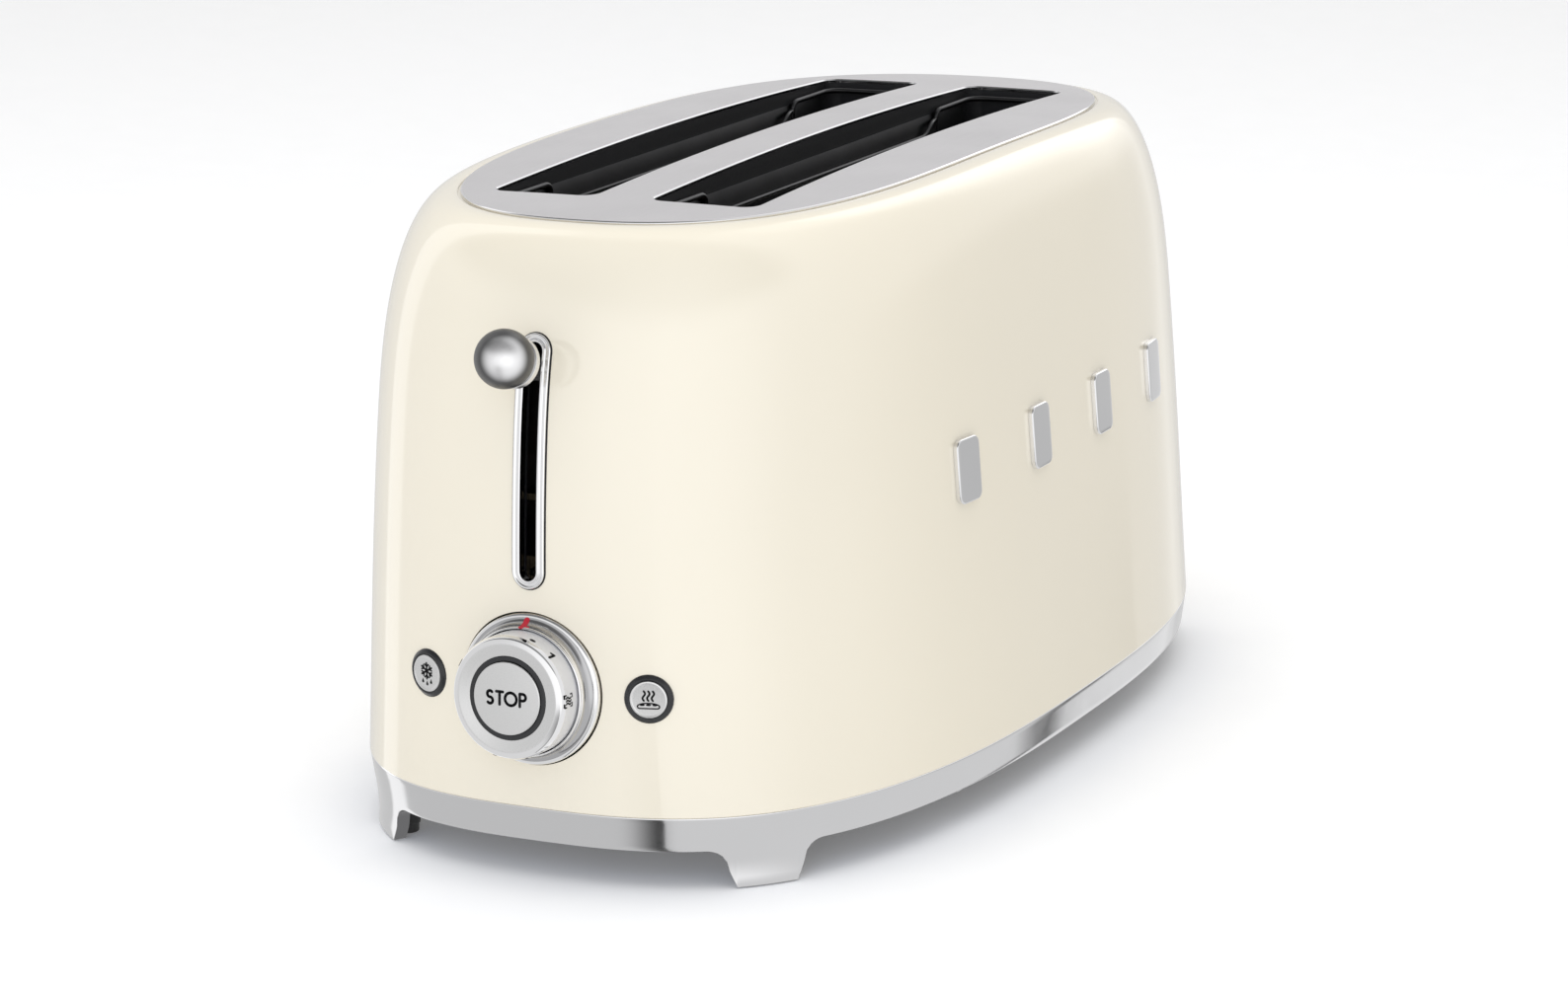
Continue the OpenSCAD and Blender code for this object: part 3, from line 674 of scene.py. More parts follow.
def slot_details():
    """Slanted strips and wire rails under the slots' long edges, and wire hoops at their ends."""
    parts = []
    for side in (-1, 1):
        for wall, inward in ((side * SLOT_OUT, -side), (side * SLOT_IN, side)):
            near, far = wall + 0.5 * inward, wall + 3.3 * inward
            sheet = 0.3 * inward
            lip = np.array([(near, 200.5), (near + sheet, 200.6), (far + sheet, 190.6),
                            (far + sheet, 188.8), (far, 188.8), (far, 190.4)])
            parts.append((prism_y("strip", lip, -117, 117), 0))
            x = wall + 4.2 * inward
            rail = rounded_path([(x, -96, 187.5), (x, -100, 194.6), (x, 78, 194.6), (x, 84, 198.6),
                                 (x - 2.2 * inward, 92, 198.6)], 3.0, 6)
            parts.append((swept("rail", rail, 0.75, 12), 1))
        for end in (-1, 1):
            x0, x1 = side * (SLOT_IN + 2.0), side * (SLOT_OUT - 2.0)
            y0, y1 = end * 92, end * (SLOT_L / 2 - 3.6)
            hoop = rounded_path([(x0, y0, 193), (x0, y0, 201.5), (x0, y1, 201.5), (x1, y1, 201.5),
                                 (x1, y0, 201.5), (x1, y0, 193)], 7.0, 10)
            parts.append((swept("hoop", hoop, 0.95, 12), 1))
    # the strips are near black: painted shade of the slots' depth
    piece(joined(parts), "slot_strips_and_wires", "casing", "zinc_sheet", (),
          [SHEET_PAINTED_SHADE, BRIGHT_CHROME_AND_HIGHLIGHT], crease=40)


def brushed_plate():
    edge = fillet([(0.0, PLATE_T), (0.0, 0.34, 0.1), (-0.34, 0.02, 0.25), (-6.0, 0.0)], 5)
    rings = [crown_ring(PLATE_HALF + off, drop) for off, drop in edge]
    scales = (0.86, 0.76, 0.64, 0.52, 0.4, 0.28, 0.16, 0.06)
    rings += [crown_ring(PLATE_HALF * s, 0) for s in scales]
    under = [crown_ring(PLATE_HALF * s, PLATE_T) for s in (*scales[::-1], 0.93)]
    data = loft("plate", rings + under, closed=True)
    work = bmesh.new()
    work.from_mesh(data)
    # the smallest ring is joined to its underside; take that tube out and cap both faces
    middle = (len(rings) - 1) * COLUMNS
    work.verts.ensure_lookup_table()
    tube = [f for f in work.faces if all(0 <= v.index - middle < 2 * COLUMNS for v in f.verts)]
    bmesh.ops.delete(work, geom=tube, context="FACES_ONLY")
    bmesh.ops.holes_fill(work, edges=[e for e in work.edges if e.is_boundary], sides=0)
    bmesh.ops.recalc_face_normals(work, faces=work.faces)
    work.to_mesh(data)
    work.free()
    slots = joined([(bread_slot(s), 0) for s in (-1, 1)])
    data = carved(data, slots)
    o = piece(data, "brushed_top_plate", "casing", "brushed", ["top_plate"],
              [MATERIALS["brushed"], MATERIALS["chrome"], SHADE_PAINTED_STEEL], crease=18)
    # the outer edge is polished, and the slots' rims and walls get a darker steel: painted shade
    for f in o.data.polygons:
        if f.normal.z < 0.95:
            x, y = f.center.x / MM, f.center.y / MM - BODY_Y
            f.material_index = 2 if abs(x) < SLOT_OUT + 2 and abs(y) < SLOT_L / 2 + 2 else 1
    return o


def about_foot(spots, corner):
    """How far spots lie outwards of a corner's foot, and how far sideways of its middle."""
    out = FOOT_OUT * corner
    away = spots - FOOT_AT * corner
    return away @ out, away[..., 0] * out[1] - away[..., 1] * out[0]


def leg_low(spot):
    """Lower edge of the band at that place: down to the foot's sole at each corner."""
    low, neck = BAND_LOW, FOOT_HALF + FOOT_FLARE
    for corner in FOOT_CORNERS.values():
        outward, s = about_foot(spot, corner)
        s = abs(s)
        if outward < -FOOT_REACH or s >= neck + FOOT_FILLET:
            continue
        if s <= FOOT_HALF:
            z = LEG_BOTTOM
        elif s <= neck:
            z = LEG_BOTTOM + (BAND_LOW - FOOT_FILLET - LEG_BOTTOM) * (s - FOOT_HALF) / FOOT_FLARE
        else:
            c = 1 - (s - neck) / FOOT_FILLET
            z = BAND_LOW - FOOT_FILLET * (1 - math.sqrt(1 - c * c))
        low = min(low, z)
    return low


def foot_breaks():
    """Outline angles at which a foot's edge has a corner."""
    fine = np.linspace(0, 2 * math.pi, 40001)[:-1]
    spots = band_ring(BAND_MID, 0, fine)[:, :2]
    found = []
    for corner in FOOT_CORNERS.values():
        outward, s = about_foot(spots, corner)
        for edge in np.cumsum([FOOT_HALF, FOOT_FLARE, FOOT_FILLET]):
            for sign in (-1, 1):
                gap = np.where(outward > -FOOT_REACH, np.abs(s - sign * edge), 1e9)
                found.append(fine[int(np.argmin(gap))])
    return found


def foot_band():
    angles = np.unique(np.concatenate([even_angles(720), foot_breaks()]))
    angles = angles[np.concatenate([[True], np.diff(angles) > 2e-4])]
    low = np.array([leg_low(spot) for spot in band_ring(BAND_MID, 0, angles)[:, :2]])
    thick = np.where(low < BAND_LOW - 1e-6, LEG_T, BAND_T)
    r = 0.7

    def row(z, off):
        flare = LEG_OUT * (np.maximum(0.0, BAND_LOW - z) / BAND_LOW) ** 2
        return band_ring(z, off + flare, angles)

    rings = [row(low, -0.45), row(low + 0.12, -0.12), row(low + 0.45, 0.0)]
    rings += [row(low + 0.45 + (BAND_TOP - r - low - 0.45) * k / 8, 0.0) for k in range(1, 9)]
    rings += [row(BAND_TOP - r + r * math.sin(t), -r + r * math.cos(t))
              for t in np.linspace(0, math.pi / 2, 6)[1:]]
    rings += [row(BAND_TOP, -BAND_T), row(BAND_LOW + 0.1, -BAND_T)]
    rings += [row(BAND_LOW + 0.1, -thick), row(low, -thick)]
    opening = slab("opening", (-50.6, 50.6), (150, 220), (14.6, 40))
    band = piece(carved(loft("band", rings, closed=True), opening), "polished_band", "casing",
                 "chrome", ["base_ring"], [BAND_STEEL, LEG_SIDE_PAINTED_SHADE, BRIGHT_CHROME_AND_HIGHLIGHT], crease=28)
    # painted shade on the legs' flanks for the shaded floor they mirror, painted highlight on the
    # top edge
    for f in band.data.polygons:
        height = f.center.z / MM
        if height < BAND_LOW - 0.2 and f.normal @ band_outward(f.center) < 0.6:
            f.material_index = 1
        elif height > BAND_TOP - r and 0.15 < f.normal.z < 0.97:
            f.material_index = 2


def band_outward(spot):
    """Level direction straight out of the band's face nearest a mesh point."""
    x, y = spot.x / MM, spot.y / MM - BODY_Y
    lean_x = math.copysign((2 * abs(x) / BASE_W) ** (POW_LOW[0] - 1) / BASE_W, x)
    lean_y = math.copysign((2 * abs(y) / BASE_L) ** (POW_LOW[1] - 1) / BASE_L, y)
    return Vector((lean_x, lean_y, 0)).normalized()


def tray_front():
    """Curved strip that fills the band's rear opening, with a finger scoop under its edge."""
    angles = even_angles(720)
    r, low, high = 0.6, 14.9, BAND_TOP - 0.3
    edge = [(low, -BAND_T), (low, -r), (low + 0.2, -0.2), (low + r, 0)]
    edge += [(low + r + (high - low - 2 * r) * k / 4, 0) for k in range(1, 5)]
    edge += [(high - 0.2, -0.2), (high, -r), (high, -BAND_T)]
    rings = [band_ring(z, off, angles) for z, off in edge]
    data = carved(loft("strip", rings, closed=True),
                  slab("ends", (-50.3, 50.3), (150, 220), (0, 40)), "INTERSECT")
    scoop = revolved("scoop", Place([0, 150, low - 15.5], [0, 1, 0]), [(19.5, 0), (19.5, 80)], 96)
    return piece(carved(data, scoop), "tray_front_strip", "tray", "chrome", ["tray_handle"],
                 [BAND_STEEL], crease=28)


def rubber_feet():
    profile = fillet([(0.4, 0.9), (1.6, 0.9, 0.2), (2.0, 0.0, 0.3), (PAD_R - 0.5, 0.0, 0.6),
                      (PAD_R - 0.5, 3.0, 0.3), (PAD_R, 3.0, 0.4), (PAD_R, 13.0), (0.4, 13.0)])
    for name, corner in FOOT_CORNERS.items():
        spot = FOOT_AT * corner - PAD_IN * (FOOT_OUT * corner)
        data = revolved("pad", Place([*spot, 0], [0, 0, 1], (0, 1, 0)), profile, 96)
        piece(data, "rubber_foot_" + name, "casing", "rubber", ["foot_pad_" + name])


# ---- lever ----
def round_slot(name, profile):
    """Closed ring round the lever slot that follows the casing: profile is (outwards, proud)."""
    mid_w = (TRIM_W + GAP_W) / 2
    path = stadium(mid_w, mid_w + TRIM_H - TRIM_W, 32)
    fine = []
    for p, q in zip(path, np.roll(path, -1, 0)):
        steps = max(1, int(np.linalg.norm(q - p) // 2.5))
        fine += [p + (q - p) * k / steps for k in range(steps)]
    reach = (TRIM_H - TRIM_W) / 2
    rings = []
    for spot in fine:
        away = spot - [0.0, np.clip(spot[1], SLOT_Z - reach, SLOT_Z + reach)]
        away /= np.linalg.norm(away)
        rings.append(np.array([raised(front_point, *(spot + away * u), h) for u, h in profile]))
    return loft(name, rings, closed=True)


def slot_trim():
    """Rounded polished frame round the lever slot, on a thin dark gasket that also paints a shade
    line.
    """
    trim = fillet([(-1.3, -2.4), (-1.33, 0.95, 0.35), (-0.62, 1.05, 0.3), (-0.25, 0.55, 0.3),
                   (0.35, 0.55, 0.3), (0.75, 1.05, 0.4), (1.33, 0.85, 0.5), (1.33, 0.05),
                   (0.1, 0.05), (0.05, -2.4)], 5)
    piece(round_slot("trim", trim), "lever_slot_frame", "casing", "chrome", ["lever_slot_trim"],
          [BRIGHT_CHROME_AND_HIGHLIGHT], crease=50)
    # painted shade: the black gasket, just proud of the frame, draws a dark outline round it
    gasket = fillet([(1.0, -0.4), (1.36, -0.4), (1.36, 0.22, 0.05), (1.72, 0.16, 0.08),
                     (1.74, -0.4), (1.0, -0.4)], 3)[:-1]
    piece(round_slot("gasket", gasket), "lever_slot_gasket_shade_line", "casing", "black_plastic",
          crease=50)


def lever_place():
    tilt = math.radians(LEVER_TILT)
    return Place(BALL_AT - [0, 0, BALL_DROP], [0, -math.cos(tilt), math.sin(tilt)])


def lever_ball():
    """Ball with its turned collar and shank, along the tilted lever."""
    r, back = BALL_SHOWN_R, -4.5
    start = math.asin((BALL_SHIFT - back) / r)
    bow = [(r * math.cos(t), BALL_SHIFT + r * math.sin(t))
           for t in np.linspace(-start, math.pi / 2, 40)]
    bow[-1] = (0.02, BALL_SHIFT + r)
    edge = r * math.cos(start)
    profile = [(0.02, back), (edge - 0.3, back), (edge - 0.08, back + 0.05)] + bow
    piece(revolved("ball", lever_place(), profile, 128), "lever_ball", "carriage", "chrome",
          ["lever_knob"], [BALL_METAL], crease=50)
    shank = fillet([(0.02, back), (8.05, back, 0.3), (8.1, -6.7, 0.4), (7.2, -7.5, 0.3),
                    (2.6, -7.5, 0.3), (2.2, -8.2, 0.2), (2.2, -22.5), (0.02, -22.5)])
    piece(revolved("collar", lever_place(), shank, 96), "lever_collar_turned", "carriage", "satin",
          ["lever_collar"])


# ---- dial and buttons ----
def joint(name):
    return next(j for j in frame["joints"] if j["name"] == name)


def dial_place():
    j = joint("dial_turn")
    return Place(np.array(j["pos_m"]) / MM - [0, BODY_Y, 0], j["axis"])


def button_place(side_name):
    low, high = mm_box(side_name + "_ring")
    out = -np.array(joint(side_name + "_press")["axis"])
    depth = (8.0 - RING_PROUD) / 2
    return Place((low + high) / 2 - [0, BODY_Y, 0] + out * depth, out)


DIAL = dial_place()
BUTTONS = {name: button_place(name) for name in ("defrost", "bagel")}


def bezel_profile():
    bead, valley = 1.2, BEZEL_R - 1.2
    pts = [(19.9, -6), (20.9, -6), (20.9, -1.6), (BEZEL_R, -1.6)]
    pts += [(valley + bead * math.cos(t), 1.4 + bead * math.sin(t))
            for t in np.linspace(0, math.pi / 2, 10)]
    pts += [(valley - 2.3 * math.sin(t), 6.4 - 3.8 * math.cos(t))
            for t in np.linspace(0, math.pi / 2, 16)[1:]]
    pts += [(20.45, 6.75), (20.3, 6.95), (20.1, 7.0), (19.95, 6.9), (19.9, 6.7)]
    return pts + pts[:1]


def about_dial(spot):
    """Radius and height, in millimetres, of a mesh point about the dial's axis."""
    away = (spot - Vector((0, BODY_Y * MM, 0))) / MM - Vector(DIAL.origin)
    height = away.dot(Vector(DIAL.out))
    return (away - Vector(DIAL.out) * height).length, height


def dial_bezel():
    bezel = piece(revolved("bezel", DIAL, bezel_profile(), 192), "dial_bezel_polished", "casing",
                  "chrome", ["dial_bezel"], [BRIGHT_CHROME_AND_HIGHLIGHT, SHADE_PAINTED_STEEL], crease=40)
    # painted shade: the valley between the bead and the inner ridge gets the darker steel
    for f in bezel.data.polygons:
        radius, height = about_dial(f.center)
        if 20.6 < radius < 22.9 and height > 2.2:
            f.material_index = 1


def dial_index():
    """Red index mark that runs from the bezel's ridge down into its valley."""
    line = np.array([p for p in bezel_profile()[13:33] if 2.5 < p[1] and p[0] > 19.92])
    run = np.concatenate([[0], np.cumsum(np.hypot(*np.diff(line, axis=0).T))])
    steps = np.linspace(0.02, run[-1] - 0.02, 30)
    across = np.linspace(-1, 1, 9)
    lower, upper = [], []
    for s in steps:
        r, h = np.interp(s, run, line[:, 0]), np.interp(s, run, line[:, 1])
        end = min(s, run[-1] - s, INDEX_HALF)
        w = math.sqrt(max(0.0, INDEX_HALF ** 2 - (INDEX_HALF - end) ** 2)) + 0.02
        for lift, store in ((0.0, lower), (0.12, upper)):
            for c in across:
                a = math.pi / 2 - (INDEX_SHIFT + c * w) / r
                out = lift * (1 - 0.4 * c * c)
                wide = r + 0.3 * out
                store.append(DIAL.at([wide * math.cos(a), wide * math.sin(a), h + out]))
    n, m = len(across), len(steps)
    faces = []
    for k in range(m - 1):
        for i in range(n - 1):
            q = (k * n + i, k * n + i + 1, (k + 1) * n + i + 1, (k + 1) * n + i)
            faces += [q, tuple(v + n * m for v in q[::-1])]
    rim = [k * n for k in range(m)] + [(m - 1) * n + i for i in range(1, n)]
    rim += [k * n + n - 1 for k in range(m - 2, -1, -1)] + [i for i in range(n - 2, 0, -1)]
    faces += [(rim[i], rim[(i + 1) % len(rim)], rim[(i + 1) % len(rim)] + n * m, rim[i] + n * m)
              for i in range(len(rim))]
    piece(raw_mesh("index", lower + upper, faces), "dial_index_mark", "casing", "chrome", (), [RED])


def stroke(points, width, cyclic=False):
    """Line drawn with a round pen, as a list of flat convex polygons."""
    pts = [np.array(p, float) for p in points]
    if cyclic:
        pts.append(pts[0])
    polygons = []
    for a, b in zip(pts, pts[1:]):
        d = b - a
        if np.linalg.norm(d) < 1e-9:
            continue
        base = math.atan2(d[1], d[0])
        polygons.append([end + width / 2 * np.array([math.cos(base + t), math.sin(base + t)])
                         for end, start in ((b, -math.pi / 2), (a, math.pi / 2))
                         for t in np.linspace(start, start + math.pi, 6)])
    return polygons


def arc(cx, cy, rx, ry, start, end, steps):
    t = np.radians(np.linspace(start, end, steps))
    return [(cx + rx * math.cos(a), cy + ry * math.sin(a)) for a in t]


def printed(name, polygons, wrap, body, thickness=0.05):
    """Thin printed mark: each convex polygon laid on a surface by wrap(x, y, lift)."""
    points, faces = [], []
    for ring in polygons:
        base, k = len(points), len(ring)
        points += [wrap(x, y, lift) for lift in (0.0, thickness) for x, y in ring]
        faces += [tuple(range(base, base + k))[::-1], tuple(range(base + k, base + 2 * k))]
        faces += [(base + i, base + (i + 1) % k, base + k + (i + 1) % k, base + k + i)
                  for i in range(k)]
    data = bpy.data.meshes.new(name)
    data.from_pydata(((np.array(points) + [0, BODY_Y, 0]) * MM).tolist(), [], faces)
    return piece(data, name, body, "satin", (), [PRINT], crease=30)


def on_face(place, height, shift=(0, 0), size=1.0):
    """Lays a mark flat on a control's face."""
    def wrap(x, y, lift):
        return place.at([x * size + shift[0], y * size + shift[1], height + lift])
    return wrap


# Marks are polylines in millimetres about their own middle, before stroke() thickens them
LETTERS = {
    "S": [arc(0, 1.0, 0.92, 1.0, 40, 270, 22) + arc(0, -1.0, 0.98, 1.0, 90, -140, 22)],
    "T": [[(-1.15, 2.0), (1.15, 2.0)], [(0, 2.0), (0, -2.0)]],
    "O": [arc(0, 0, 2.0, 2.0, 0, 360, 49)],
    "P": [[(-0.9, -2.0), (-0.9, 2.0), (0.1, 2.0)] + arc(0.1, 0.95, 1.05, 1.05, 90, -90, 18)
                  + [(-0.9, -0.1)]]}
DIGITS = {
    "1": [[(-0.5, 0.6), (0.2, 1.1), (0.2, -1.1)]],
    "2": [arc(0, 0.5, 0.65, 0.6, 160, -35, 14) + [(-0.65, -1.1), (0.7, -1.1)]],
    "3": [arc(0, 0.52, 0.55, 0.55, 150, -90, 14), arc(0, -0.52, 0.65, 0.58, 90, -150, 14)],
    "4": [[(0.35, -1.1), (0.35, 1.1), (-0.7, -0.5), (0.75, -0.5)]],
    "5": [[(0.55, 1.1), (-0.45, 1.1), (-0.55, 0.15)] + arc(0, -0.38, 0.65, 0.7, 130, -140, 14)],
    "6": [arc(0.05, -0.45, 0.62, 0.65, 0, 360, 25), [(0.5, 1.05), (-0.25, 0.5), (-0.57, -0.35)]]}


def wisp(x, sway, top, height, steps):
    """Wavy line that hangs down from its top."""
    return [(x + sway * math.sin(2 * math.pi * t), top - height * t)
            for t in np.linspace(0, 1, steps)]


def word(text, alphabet, pitch, width):
    polygons, x = [], 0.0
    for letter, step in zip(text, pitch):
        for line in alphabet[letter]:
            polygons += stroke([(px + x, py) for px, py in line], width)
        x += step
    return polygons


def centred(polygons):
    pts = np.array([p for ring in polygons for p in ring])
    mid = (pts.min(0) + pts.max(0)) / 2
    return [[np.array(p) - mid for p in ring] for ring in polygons]


def dial_knob():
    inner = COLUMN_R + 0.06
    profile = fillet([(inner, -1), (KNOB_R - 1, -1, 0.2), (KNOB_R - 1, 4.6, 0.2),
                      (KNOB_R, 5.6, 0.2), (KNOB_R, KNOB_FACE - 2.0, 0.3),
                      (KNOB_R - 0.7, KNOB_FACE - 0.5, 1.0),
                      (KNOB_R - 2.6, KNOB_FACE, 1.0), (COLUMN_R + 1.2, KNOB_FACE - 0.5, 0.3),
                      (inner, KNOB_FACE - 0.7), (inner, -1)], 6)
    data = revolved("knob", DIAL, profile, 192)
    knob = piece(data, "browning_dial", "dial", "satin", ["dial_knob"],
                 [MATERIALS["satin"], BRIGHT_CHROME_AND_HIGHLIGHT, FROSTED], crease=40)
    for f in knob.data.polygons:
        radius, height = about_dial(f.center)
        if radius > KNOB_R - 2.4 and height > KNOB_FACE - 2.2:
            f.material_index = 1
        elif radius > KNOB_R - 1.2:
            f.material_index = 2

    def turned_side(angle, size):
        """Reads from the front of the knob with its top towards the casing."""
        def wrap(x, y, lift):
            r = KNOB_R + lift
            a = math.radians(90 - angle) - x * size / KNOB_R
            return DIAL.at([r * math.cos(a), r * math.sin(a), 12.8 - y * size])
        return wrap

    dot = [[(1.05 * math.cos(t), 0.8 * math.sin(t)) for t in np.linspace(0, 2 * math.pi, 20)[:-1]]]
    printed("scale_dot", dot, turned_side(21, 1.0), "dial")
    for i in range(6):
        text = str(i + 1)
        printed("scale_" + text, centred(word(text, DIGITS, [0], 0.58)),
                turned_side(43 if i == 0 else -28 - 34 * i, 1.45), "dial")
    waves = []
    for x in (-0.9, 0, 0.9):
        waves += stroke(wisp(x, 0.28, 1.5, 3, 16), 0.55)
    for sx in (-1, 1):
        for sy in (-1, 1):
            bracket = [(sx * 0.9, sy * 2.3), (sx * 1.9, sy * 2.3), (sx * 1.9, sy * 1.3)]
            waves += stroke(bracket, 0.45)
    printed("scale_reheat", waves, turned_side(88, 1.0), "dial")


def stop_button():
    edge = KNOB_FACE + 0.1
    profile = fillet([(0.02, edge), (STOP_R, edge, 0.35), (STOP_R, edge - 4.3, 0.2),
                      (3.0, edge - 4.3), (3.0, -13.2), (0.02, -13.2)], 6)
    piece(revolved("stop", DIAL, profile, 128), "stop_button_satin", "stop", "satin",
          ["stop_button"], crease=40)
    polygons = centred(word("STOP", LETTERS, [3.35, 3.9, 4.05, 0], 0.92))
    printed("stop_word", polygons, on_face(DIAL, edge), "stop")
    top = KNOB_FACE - 0.5
    ring = fillet([(STOP_R + 0.1, -14), (STOP_R + 0.1, top, 0.25), (COLUMN_R, top, 0.25),
                   (COLUMN_R, -14), (STOP_R + 0.1, -14)], 4)
    piece(revolved("ring", DIAL, ring, 128), "stop_dark_ring", "casing", "dark_ring",
          ["stop_light_ring"], crease=40)


def push_button(name):
    place = BUTTONS[name]
    ring = fillet([(6.0, -8), (6.0, RING_PROUD + 0.1, 0.25), (6.6, RING_PROUD + 0.2, 0.3),
                   (RING_R, 0.9, 0.6), (RING_R, -8), (6.0, -8)], 5)
    piece(revolved("ring", place, ring, 96), name + "_dark_ring", "casing", "dark_ring",
          [name + "_ring"], crease=40)
    disc = fillet([(0.02, BUTTON_PROUD - 0.15), (5.1, BUTTON_PROUD - 0.15, 0.2),
                   (5.35, BUTTON_PROUD, 0.2), (BUTTON_R, BUTTON_PROUD - 0.1, 0.25), (BUTTON_R, -5),
                   (2, -5), (2, -8.4), (0.02, -8.4)], 5)
    piece(revolved("disc", place, disc, 96), name + "_push_button", name, "satin",
          [name + "_button"], crease=40)


def snowflake():
    polygons = []
    for k in range(6):
        a = math.radians(60 * k + 30)
        u = np.array([math.cos(a), math.sin(a)])
        v = np.array([-u[1], u[0]])
        polygons += stroke([0.3 * u, 2.3 * u], 0.62)
        polygons += stroke([1.9 * u + 0.75 * v, 1.25 * u, 1.9 * u - 0.75 * v], 0.52)
    drops = []
    for x, y in ((-1.6, -3.3), (0.1, -3.9), (1.7, -3.2)):
        drops.append(arc(x, y, 0.42, 0.42, -210, 30, 13) + [(x, y + 1.05)])
    return polygons + drops


def hot_bun():
    """Domed bun with three seeds under three wisps of steam."""
    polygons = []
    for x in (-1.35, 0, 1.35):
        polygons += stroke(wisp(x, 0.38, 2.7, 2.9, 18), 0.6)
    body = arc(0, -1.9, 3.3, 0.95, 180, 0, 16) + arc(2.6, -1.95, 0.7, 0.6, 0, -90, 6)[1:]
    body += arc(-2.6, -1.95, 0.7, 0.6, -90, -180, 6)
    polygons += stroke(body, 0.42, cyclic=True)
    for x in (-1.9, 0, 1.9):
        seed = []
        for t in np.linspace(0, 2 * math.pi, 18)[:-1]:
            squash = 1 if math.sin(t) < 0 else 0.8
            seed.append((x + 0.8 * math.cos(t), -1.45 + 0.36 * math.sin(t) * squash))
        polygons.append(seed)
    return polygons


def control_marks():
    height, ink = BUTTON_PROUD - 0.15, 0.04
    printed("defrost_symbol", snowflake(), on_face(BUTTONS["defrost"], height, (0, 0.8), 1.1),
            "defrost", ink)
    printed("bagel_symbol", hot_bun(), on_face(BUTTONS["bagel"], height, (0, -0.1), 1.05),
            "bagel", ink)


# ---- trim, bread guides and heating elements ----
def side_studs():
    """Four plain raised studs with rounded corners and eased edges, in a row along the side."""
    low, high = mm_box("side_studs")
    z, half_z = (low[2] + high[2]) / 2, (high[2] - low[2]) / 2
    ease = 1.6
    edge = fillet([(0.0, 0.04), (0.0, STUD_PROUD, 0.55), (-ease, STUD_PROUD)], 5)
    outlines = [(rounded_box(STUD_HALF_Y + grow, half_z + grow, STUD_R + grow), lift)
                for grow, lift in edge]
    flat = rounded_box(STUD_HALF_Y - ease, half_z - ease, STUD_R - ease)
    outlines += [(flat * scale, STUD_PROUD) for scale in (0.7, 0.4, 0.1)]
    parts = []
    for y in STUD_ROW:
        rings = [np.array([raised(side_point, y + u, z + v, lift) for u, v in corners])
                 for corners, lift in outlines]
        parts.append((loft("stud", rings), 0))
    piece(joined(parts), "side_studs_polished", "casing", "chrome", ["side_studs"], crease=40)


def rounded_box(half_u, half_v, r):
    """Round-cornered rectangle about the origin."""
    return np.array([(cu * (half_u - r) + r * math.cos(t), cv * (half_v - r) + r * math.sin(t))
                     for cu, cv, start in ((1, 1, 0), (-1, 1, 90), (-1, -1, 180), (1, -1, 270))
                     for t in np.radians(np.linspace(start, start + 90, 7))])


def bread_guides():
    """Wire cages: a round-cornered frame with hooked uprights."""
    low, high = 47, 184
    for name, x in (("outer_left", -43), ("inner_left", -15), ("inner_right", 15),
                    ("outer_right", 43)):
        corners = [(x, -126, low), (x, 126, low), (x, 126, high), (x, -126, high)]
        parts = [(swept("rail", rounded_path(corners, 9, 8, True), 1.3, 12, True), 0)]
        for i in range(-4, 5):
            y = 25.2 * i
            line = rounded_path([(x, y, low), (x, y, high - 3), (x, y + 5, high + 0.3)], 4, 6)
            parts.append((swept("upright", line, 0.9, 10), 0))
        piece(joined(parts), "wire_cage_" + name, "guide_" + name, "wire_chrome",
              ["bread_guide_" + name], crease=60)


def heating_elements():
    """Notched mica boards with flat ribbon wound across them."""
    low, high = mm_box("element_outer_right")
    span = (high[1] - low[1]) / 2
    z0, z1, count = 44.0, 156.0, 60
    w = 2 * span / count
    teeth = []
    for k in range(count):
        y = -span + 2 * span * k / count
        teeth += [(y, 0.0), (y + w * 0.35, 0.0), (y + w * 0.5, -1.6), (y + w * 0.65, 0.0)]
    board = np.array([(y, z1 + d) for y, d in teeth] + [(y, z0 - d) for y, d in teeth[::-1]])
    for name, x in (("outer_left", -52), ("inner_left", -7.5), ("inner_right", 7.5),
                    ("outer_right", 52)):
        rings = [np.column_stack([np.full(len(board), x + dx), board]) for dx in (-0.5, 0.5)]
        parts = [(loft("board", rings), 0)]
        for k in range(26):
            y = -span * 0.93 + 2 * span * 0.93 * k / 25
            for face in (x - 0.66, x + 0.66):
                parts.append((slab("ribbon", (face - 0.12, face + 0.12), (y - 1.1, y + 1.1),
                                   (z0 + 1.2, z1 - 1.2)), 1))
        piece(joined(parts), "heating_" + name, "casing", "mica", ["element_" + name],
              [MATERIALS["mica"], RIBBON])


# ---- stage ----
def direction(azimuth, elevation):
    """Unit vector away from the object, by degrees; azimuth 0 is in front, +90 at +X."""
    a, e = math.radians(azimuth), math.radians(elevation)
    return Vector((math.sin(a) * math.cos(e), -math.cos(a) * math.cos(e), math.sin(e)))


def softbox(name, azimuth, elevation, distance, size, watts, color=(1, 1, 1)):
    """Square light aimed at the object's middle and left out of reflections."""
    data = bpy.data.lights.new(name, "AREA")
    data.shape = "RECTANGLE"
    data.size, data.size_y = size, size
    data.energy = watts
    data.color = color
    o = bpy.data.objects.new(name, data)
    bpy.context.scene.collection.objects.link(o)
    middle = Vector((0, 0, 0.1))
    o.location = middle + distance * direction(azimuth, elevation)
    o.rotation_euler = (middle - o.location).to_track_quat("-Z", "Y").to_euler()
    o.visible_glossy = False


